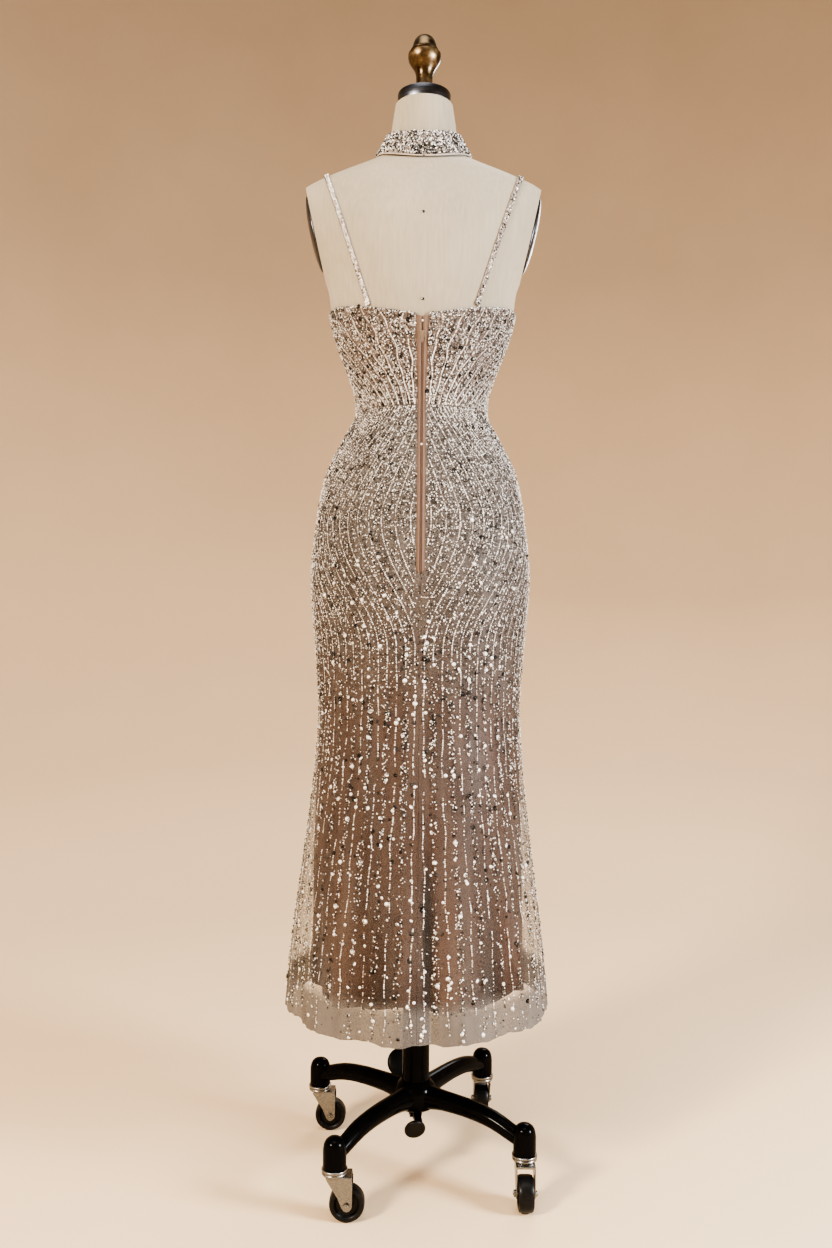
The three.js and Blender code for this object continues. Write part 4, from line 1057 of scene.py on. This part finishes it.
# The collar's half sizes to the side, front and back, its height at the sides, and how much lower it is at
# the front and at the back.
COLLAR_FOOT = (0.078, 0.074, 0.072, 1.650, 0.052, 0.023)
COLLAR_RIM = (0.0586, 0.057, 0.056, 1.686, 0.046, 0.0125)
HALTER_HALF = 0.062
BODICE_THICK = 0.0014


def on_collar(angle, up, inside=0.0):
    """A point of the collar: up goes from its foot to its rim."""
    sizes = (low + (high - low) * up for low, high in zip(COLLAR_FOOT, COLLAR_RIM))
    side, front, back, height, front_drop, back_drop = sizes
    behind = np.sin(angle) > 0
    deep = np.where(behind, back, front) - inside
    drop = np.where(behind, back_drop, front_drop) * np.sin(angle) ** 2
    return np.stack([(side - inside) * np.cos(angle), deep * np.sin(angle), height - drop], axis=-1)


def bodice_front(across_share, up_share, inside=0.0):
    """A point of the front panel: across from the wearer's right to left, and up from waist to collar."""
    low, high, last = WAIST + SEAM_GAP / 2, 1.582, 0.86
    height = low + (high - low) * np.minimum(up_share / last, 1)
    start, finish = panel_span("front", height)
    edge = np.interp(height, HALTER_EDGE[:, 0], HALTER_EDGE[:, 1], left=1.0)
    edge = np.minimum(edge, read(SIDE, height) * np.cos(finish))
    first, final = angle_at(-edge, height, -1), angle_at(edge, height, -1)
    on_body = on_figure(first + (final - first) * across_share, height, -inside)
    across = HALTER_HALF * (2 * across_share - 1)
    top = on_collar(-np.arccos(across / COLLAR_FOOT[0]), 0, inside)
    top[..., 2] -= SEAM_GAP + 0.0001
    beyond = np.clip((up_share - last) / (1 - last), 0, 1)[..., None]
    return on_body + (top - on_body) * beyond


def bodice_back(panel):
    def at(across_share, up_share, inside=0.0):
        first, last = panel_span(panel, np.array(WAIST))
        lean = np.abs(np.cos(first + (last - first) * across_share)) ** BACK_TOP["curve"]
        low = WAIST + SEAM_GAP / 2
        high = BACK_TOP["middle"] + (BACK_TOP["side"] - BACK_TOP["middle"]) * lean
        height = low + (high - low) * up_share
        start, finish = panel_span(panel, height)
        return on_figure(start + (finish - start) * across_share, height, -inside)
    return at


beaded = Finish("beaded_bodice", {"Sheen Weight": 0.1, "Sheen Roughness": 0.5})
patch = beaded.grain(40, 3)
seeded_ground(beaded, beaded.tint(patch, (0.070, 0.049, 0.038), (0.17, 0.127, 0.103)), 0.0022)

BODICE = {
    "front": (bodice_front, 70, 70),
    "back_left": (bodice_back("back_left"), 34, 28),
    "back_right": (bodice_back("back_right"), 34, 28),
}
bodices = {}
for panel, (surface, columns, rows) in BODICE.items():
    across, up = np.meshgrid(np.linspace(0, 1, columns + 1), np.linspace(0, 1, rows + 1))
    shell = closed(surface(across, up), surface(across, up, BODICE_THICK))
    made = piece("bodice_cloth_" + panel, *shell, beaded, "form_and_gown", "beaded_bodice")
    with_value(made, "beaded", 0.86 + 0 * up)
    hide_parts("bodice_" + panel)
    bodices[panel] = made

# Bodice beads. The strings of the back, each with a finer row of dark beads beside it that paints its shadow,
# fan out from the waist to the low top edge, and those of the front run from the waist up into the halter.
# Larger beads are heaped between them, and one row edges every opening.
BEADED_EDGE = 0.0024
BODICE_CLEAR = 0.0034
# How far aside of each string its painted shadow of dark beads runs, as a share of the row step.
SHADOW_ASIDE = 0.19


def shares_out(surface, across, up):
    return facing_out(surface, across, up, (0.002, 0.002))


def sewn_on_bodice(name, surface, across, up, size, finish, **shape):
    kept = (across > 0.004) & (across < 0.996) & (up > 0.004) & (up < 0.999)
    across, up, size = across[kept], up[kept], size[kept]
    places, out = surface(across, up), shares_out(surface, across, up)
    return beads(name, places, out, size, finish, "beadwork", **shape)


def fan_rows(panel):
    """Strings, dark beads painting their shadow and scattered beads of a bodice panel: across and up shares,
    sizes.
    """
    front = panel == "front"
    rows, step, steps_up, count = (26, 1 / 26, 165, 26000) if front else (20, 0.052, 78, 17500)

    def across_of(home, up):
        return home + 0 * up if front else home * (1 + 2.3 * np.clip(up, 0, 1) ** 1.15)

    strings, shadow_rows = [], []
    up = np.linspace(0, 1, steps_up)
    for number in range(rows):
        wander = 0.10 * np.sin(up * 9 + 5 * number) + 0.06 * np.sin(up * 23 + 3 * number)
        home = (number + 0.5 + wander) * step
        strings.append(np.stack([across_of(home, up), up, 0.0024 + 0.0006 * seeded.random(len(up))], axis=1))
        size = 0.0016 + 0.0005 * seeded.random(len(up))
        dark = np.stack([across_of(home + SHADOW_ASIDE * step, up), up, size], axis=1)
        shadow_rows.append(dark[seeded.random(len(up)) < 0.85])
    home, up = seeded.random(count), seeded.random(count)
    closer = across_of(1.0, up)
    row = home / step - 0.5
    width = step * closer * (0.15 if not front else 0.32 - 0.20 * up)
    kept = seeded.random(count) < closer / 3.3
    kept &= np.abs(row - np.round(row)) * width > np.minimum(BODICE_CLEAR, 0.26 * width)
    size = 0.0020 + 0.0017 * seeded.random(count) ** 1.3
    scatter = np.stack([across_of(home, up), up, size], axis=1)[kept]
    tables = [np.concatenate(strings), np.concatenate(shadow_rows), scatter]
    if panel == "back_left":
        for table in tables:
            table[:, 0] = 1 - table[:, 0]
    return tables


on_bodice = {}
for panel, (surface, _, _) in BODICE.items():
    front = panel == "front"
    strings, shadow_rows, scatter = fan_rows(panel)
    even = np.linspace(0, 1, 420 if front else 190)
    loose = [scatter, np.stack([even, 0.990 + 0 * even, BEADED_EDGE + 0 * even], axis=1)]
    if front:
        even = np.linspace(0, 1, 330)
        for side in (0.008, 0.992):
            loose.append(np.stack([side + 0 * even, even, BEADED_EDGE + 0 * even], axis=1))
    lines = sewn_on_bodice("strings_bodice_" + panel, surface, *strings.T, strung, tilt=0.1, sides=4)
    # Finer dark beads beside each string paint its shadow.
    sides = sewn_on_bodice("dark_rows_bodice_" + panel, surface, *shadow_rows.T, jet, tilt=0.1)
    scattered = sewn_on_bodice("beads_bodice_" + panel, surface, *np.concatenate(loose).T, glass)
    count = 300 if front else 120
    spots = seeded.random(count), seeded.random(count), 0.0036 + 0.0042 * seeded.random(count) ** 1.6
    darks = sewn_on_bodice("sequins_bodice_" + panel, surface, *spots, jet, **DISC)
    on_bodice[panel] = [lines, sides, scattered, darks]

# Collar. A stiffened band round the neck, hooked at the centre back, with beads heaped over it and a plain
# rolled binding along its foot.
OPENING = math.asin(0.0004 / 0.072)
COLLAR_THICK = 0.0018
BINDING_RADIUS = 0.0012


def tube(path, radius, sides=8):
    """Points and faces of a round cord along an open path."""
    ahead = unit(np.gradient(path, axis=0))
    side = unit(np.cross(ahead, (0, 0, 1.0)))
    up = np.cross(side, ahead)
    turn = np.arange(sides) / sides * 2 * math.pi
    ring = side[:, None] * np.cos(turn)[:, None] + up[:, None] * np.sin(turn)[:, None]
    return (path[:, None] + radius * ring).reshape(-1, 3), skin(len(path), sides)


def collar_at(round_share, up_share, inside=0.0):
    angle = math.pi / 2 + OPENING + (2 * math.pi - 2 * OPENING) * round_share
    return on_collar(angle, up_share, inside)


band = Finish("beaded_collar", {"Sheen Weight": 0.1, "Sheen Roughness": 0.5})
seeded_ground(band, band.tint(band.grain(60, 3), (0.16, 0.13, 0.115), (0.34, 0.29, 0.26)), 0.0022)
binding_cloth = Finish("binding_satin", {"Sheen Weight": 0.2, "Sheen Roughness": 0.4})
twill = binding_cloth.grain(800, 2, (1, 1, 0.2))
binding_cloth.feed({
    "Base Color": binding_cloth.tint(twill, (0.30, 0.25, 0.22), (0.52, 0.46, 0.41)),
    "Roughness": twill * 0.15 + 0.42,
})
across, up = np.meshgrid(np.linspace(0, 1, 161), np.linspace(0, 1, 9))
shell = closed(collar_at(across, up), collar_at(across, up, COLLAR_THICK))
collar = piece("collar_band", *shell, band, "form_and_gown", "beadwork")
with_value(collar, "beaded", 0.85 + 0 * up)
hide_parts("collar")
foot = np.linspace(0.002, 0.998, 160)
foot_path = collar_at(foot, 0 * foot, 0.0006)
cord = tube(foot_path, BINDING_RADIUS)
binding = piece("collar_binding", *cord, binding_cloth, "form_and_gown", "beadwork")
count = 3600
across, up = seeded.random(count), 0.05 + 0.92 * seeded.random(count)
size = 0.0024 + 0.0016 * seeded.random(count)
places, out = collar_at(across, up), shares_out(collar_at, across, up)
collar_beads = beads("beads_collar", places, out, size, glass, "beadwork", flat=0.85)
across = np.concatenate([seeded.random(110), 0.04 * seeded.random(30), 1 - 0.04 * seeded.random(30)])
up = np.concatenate([0.05 + 0.9 * seeded.random(110), 0.05 + 0.35 * seeded.random(60)])
places, out = collar_at(across, up), shares_out(collar_at, across, up)
size = 0.0030 + 0.0014 * seeded.random(len(across))
collar_darks = beads("sequins_collar", places, out, size, jet, "beadwork", flat=0.5, sides=8)

# Straps. Two beaded bands run from the back's top edge over the shoulders to the halter's edge. The left one
# is closely beaded with a dark edge, and the right one is sparser, with its beads in clusters.

# Each stretch of a strap runs between two places, each how far aside and how high, on the back or the front.
STRAP_ROUTE = [((0.085, 1.384), (0.160, 1.6135), 1), ((0.160, 1.6135), (0.122, 1.459), -1)]
STRAP_HALF, STRAP_THICK, STRAP_DOME = 0.004, 0.0006, 0.0007
STRAP_STEPS = 26
EDGE_ASIDE = -0.0036
HEAPED = 26


def strap_track(sign):
    """Centre line of a strap with its directions aside and away from the form."""
    across, height, facing = [], [], []
    for (near, low), (far, high), way in STRAP_ROUTE:
        t = np.arange(0 if way > 0 else 1, STRAP_STEPS + 1) / STRAP_STEPS
        ease = 1 - (1 - t) ** 2 if way > 0 else t ** 2
        tall = low + (high - low) * ease
        height.append(tall)
        across.append(np.minimum(near + (far - near) * ease, read(SIDE, tall)))
        facing.append(way + 0 * t)
    across, height, facing = (np.concatenate(rows) for rows in (across, height, facing))
    angle = angle_at(across, height, facing)
    track = on_form(angle, height)
    ahead = unit(np.gradient(track, axis=0))
    up = on_form(angle, height + 0.001) - on_form(angle, height - 0.001)
    around = on_form(angle + 0.01, height) - on_form(angle - 0.01, height)
    away = unit(np.cross(around, up))
    aside = unit(np.cross(ahead, away))
    mirror = np.array((sign, 1, 1))
    return (track + away * 0.001) * mirror, aside * mirror, away * mirror


def along_track(track, aside, away, along, across, lift):
    """Points beside the track: along from 0 to 1, across and lift in metres. Also the way out."""
    length = np.concatenate([[0], np.cumsum(np.linalg.norm(np.diff(track, axis=0), axis=1))])
    at = np.asarray(along) * length[-1]
    places, beside, out = (
        np.stack([np.interp(at, length, rows[:, k]) for k in range(3)], axis=-1)
        for rows in (track, aside, away)
    )
    return places + beside * np.asarray(across)[..., None] + out * np.asarray(lift)[..., None], out


for side, sign in (("left", 1), ("right", -1)):
    lines = strap_track(sign)
    along, across = np.meshgrid(np.linspace(0, 1, 120), np.linspace(-1, 1, 9))
    domed = STRAP_DOME * np.sqrt(np.clip(1 - across ** 2, 0, 1))
    outer, _ = along_track(*lines, along, across * STRAP_HALF, STRAP_THICK + domed)
    inner, _ = along_track(*lines, along, across * STRAP_HALF, 0 * across)
    strap = piece("strap_band_" + side, *closed(outer, inner), band, "form_and_gown", "beadwork")
    with_value(strap, "beaded", 0.8 + 0 * along)
    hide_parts("strap_" + side)
    if side == "left":
        kind, dark_count = strung, 130
        along = np.repeat(np.linspace(0.004, 0.996, 190), 3)
        across = np.tile((-0.0020, 0.0002, 0.0022), 190)
    else:
        kind, dark_count = glass, 14
        along = np.repeat(np.linspace(0.01, 0.99, 34), 9)
        along = np.clip(along + 0.008 * seeded.standard_normal(len(along)), 0.004, 0.996)
        across = 0.0018 * seeded.standard_normal(len(along)).clip(-1.6, 1.6)
    foot, top, end = (seeded.random(HEAPED) for _ in range(3))
    along = np.concatenate([along, 0.016 * foot, 0.50 + 0.03 * top, 1 - 0.016 * end])
    across = np.concatenate([across, STRAP_HALF * (seeded.random(3 * HEAPED) * 2 - 1)])
    places, out = along_track(*lines, along, across, 0.0010 + 0 * across)
    size = 0.0026 + 0.0009 * seeded.random(len(places))
    sewn_on = beads("beads_strap_" + side, places, out, size, kind, "beadwork", sides=4)
    dots = np.linspace(0.02, 0.98, dark_count)
    places, out = along_track(*lines, dots, EDGE_ASIDE + 0 * dots, 0.0008 + 0 * dots)
    edge = beads("edge_strap_" + side, places, out, 0.0028 + 0 * dots, jet, "beadwork")

# Zip. A nylon coil between two nude tapes closes the back from the low waist of the skirt to the bodice's
# top edge. The slider is a cast body with a bridge, and its pull hangs from that. Above it a white hook
# joins the edges, and one pearl is sewn on at the waist. With those two the bodice is complete.
COIL_HALF, COIL_TOP, TAPE_TOP, ZIP_FOOT = 0.0012, 1.342, 1.363, 0.9645
TAPE_THICK, TOOTH_PITCH = 0.0008, 0.0014
PEARL = 0.0017
TOOTH_PROFILE = [(0, -0.0012), (0.00035, -0.00115), (0.00052, -0.0009), (0.00052, 0.0005), (0.00075, 0.0008),
                 (0.0006, 0.0012), (0, 0.0013)]


def tape_at(sign, across_share, height, inside=0.0):
    strip = np.interp(height, ZIP_STRIP[:, 0], ZIP_STRIP[:, 1]) - SEAM_GAP
    across = COIL_HALF + SEAM_GAP + (strip - COIL_HALF - SEAM_GAP) * across_share
    roll = 0.0016 * np.sin(np.pi * np.clip(across_share / 0.62, 0, 1)) - 0.0006
    return on_figure(angle_at(sign * across, height, 1), height, roll - inside)


tape_cloth = Finish("zip_tape", {
    "Sheen Weight": 0.25, "Sheen Roughness": 0.5, "Sheen Tint": (0.9, 0.75, 0.68),
})
herring = tape_cloth.weave("DIAGONAL", 500, 1.0)
wear = tape_cloth.grain(60, 3)
tape_cloth.feed({
    "Base Color": tape_cloth.tint(herring * 0.4 + wear * 0.6, (0.115, 0.068, 0.048), (0.205, 0.135, 0.100)),
    "Roughness": wear * 0.15 + 0.6,
})
tape_cloth.relief(herring, 0.0003, 0.4)
nylon = Finish("zip_nylon", {"Specular IOR Level": 0.6})
spiral = nylon.grain(900, 2)
nylon.feed({
    "Base Color": nylon.tint(spiral, (0.090, 0.056, 0.043), (0.19, 0.125, 0.098)),
    "Roughness": spiral * 0.2 + 0.34,
})
silver = Finish("zip_metal", {"Metallic": 1.0})
worn_plating = silver.grain(500, 3)
silver.feed({
    "Base Color": silver.tint(worn_plating, (0.34, 0.31, 0.28), (0.66, 0.62, 0.58)),
    "Roughness": worn_plating * 0.25 + 0.2,
})
for side, sign in (("left", 1), ("right", -1)):
    share, height = np.meshgrid(np.linspace(0, 1, 9), np.linspace(ZIP_FOOT, TAPE_TOP, 90))
    shell = closed(tape_at(sign, share, height), tape_at(sign, share, height, TAPE_THICK))
    made = piece("tape_" + side, *shell, tape_cloth, "form_and_gown", "zip_tape")
    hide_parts("zip_tape_" + side)
teeth = []
for number, height in enumerate(np.arange(ZIP_FOOT + 0.001, COIL_TOP, TOOTH_PITCH)):
    place = on_figure(np.array(math.pi / 2), height, -0.0001)
    way = 1 if number % 2 else -1
    shift = Matrix.Translation((place[0] + way * 0.0001, place[1], place[2]))
    teeth.append(moved(spun(TOOTH_PROFILE, 8), Matrix.Rotation(way * math.pi / 2, 4, "Y"), shift))
coil = piece("coil_teeth", *joined(*teeth), nylon, "form_and_gown", "zip_nylon")
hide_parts("zip_coil")
for node in ("zip_slider", "zip_pull"):
    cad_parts[node].data.materials.clear()
    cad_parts[node].data.materials.append(silver.material)
    rounded(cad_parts[node], 0.0003)

pearl = Finish("pearl", {"Coat Weight": 0.8, "Coat Roughness": 0.1})
layers = pearl.grain(300, 3)
pearl.feed({
    "Base Color": pearl.tint(layers, (0.78, 0.74, 0.70), (0.95, 0.93, 0.91)),
    "Roughness": layers * 0.15 + 0.2,
})
PEARL_PROFILE = [
    (PEARL * math.cos(math.radians(at)) if abs(at) < 90 else 0, PEARL * math.sin(math.radians(at)))
    for at in range(-90, 91, 18)
]
for name, height in (("waist_pearl", 1.165), ("top_hook", 1.355)):
    place = on_figure(np.array(math.pi / 2), height, 0.0010)
    ball = moved(spun(PEARL_PROFILE, 16), Matrix.Translation(place))
    on_bodice["back_left"].append(piece(name, *ball, pearl, "form_and_gown", "beadwork"))
for panel, made in bodices.items():
    cut = ((0.39, 0.44), 0.117) if panel == "front" else ((0.19, 0.17), 0.027)

# Studio. A round room of pale warm paper whose floor sweeps up into the wall, so that every side looks the
# same, under one large soft light on the wearer's left, a cooler one on the right, one above and one behind.
ROOM = [(0, 0), (0.9, 0), (1.7, 0)] + [
    (1.7 + 1.9 * math.sin(math.radians(a)), 1.9 - 1.9 * math.cos(math.radians(a))) for a in range(9, 91, 9)
] + [(3.6, 4.6)]

# A place, what it shines at, its width, its watts and its colour.
LIGHTS = [
    ("key_light", (2.1, 2.2, 2.2), (0, 0, 1.0), 0.7, 140, (1.0, 0.89, 0.75)),
    ("fill_light", (-2.5, 1.2, 1.4), (0, 0, 0.9), 0.9, 134, (0.88, 0.94, 1.0)),
    ("top_light", (0.2, 0.8, 3.4), (0, -0.4, 0.6), 2.0, 34, (1.0, 0.95, 0.88)),
    ("far_light", (-0.9, -2.6, 2.3), (0, 0, 1.0), 1.2, 26, (0.95, 0.97, 1.0)),
]
paper = Finish("studio_paper", {"Specular IOR Level": 0.2})
mottle = paper.grain(2.2, 3)
# Painted shade: the paper is lighter on the floor and darker up the wall, where less light falls.
tone = paper.ramp(paper.climb(0.0, 2.6), [
    (0.0, (0.80, 0.62, 0.42)), (0.12, (0.64, 0.48, 0.32)), (1.0, (0.41, 0.305, 0.205)),
])
paper.feed({
    "Base Color": paper.tint(mottle * 0.12, tone, (0.84, 0.70, 0.54)),
    "Roughness": mottle * 0.1 + 0.75,
})
points, faces = spun(ROOM, 96)
ground = bpy.data.meshes.new("studio_room")
ground.from_pydata(points.tolist(), [], faces)
ground.polygons.foreach_set("use_smooth", [True] * len(faces))
ground.materials.append(paper.material)
room = bpy.data.objects.new("studio_room", ground)
bpy.context.scene.collection.objects.link(room)
for name, place, target, size, power, colour in LIGHTS:
    data = bpy.data.lights.new(name, "AREA")
    data.shape, data.size, data.energy, data.color = "DISK", size, power, colour
    lamp = bpy.data.objects.new(name, data)
    bpy.context.scene.collection.objects.link(lamp)
    aim = Matrix.Translation(place).translation - Matrix.Translation(target).translation
    lamp.matrix_world = Matrix.Translation(place) @ aim.to_track_quat("Z", "Y").to_matrix().to_4x4()
world = bpy.data.worlds.new("studio")
world.use_nodes = True
world.node_tree.nodes["Background"].inputs["Color"].default_value = (0.95, 0.90, 0.84, 1)
world.node_tree.nodes["Background"].inputs["Strength"].default_value = 0.22
bpy.context.scene.world = world
lens = bpy.data.cameras.new("camera")
lens.lens, lens.sensor_width = 30.69, 36
camera = bpy.data.objects.new("camera", lens)
bpy.context.scene.collection.objects.link(camera)
camera.matrix_world = (
    Matrix.Translation((0.006, 1.75, 0.887)) @ Euler((math.pi / 2, 0, math.pi)).to_matrix().to_4x4()
    @ Matrix.Rotation(math.radians(0.5), 4, "Z")
)
bpy.context.scene.camera = camera
bpy.context.scene.view_settings.look = "AgX - High Contrast"
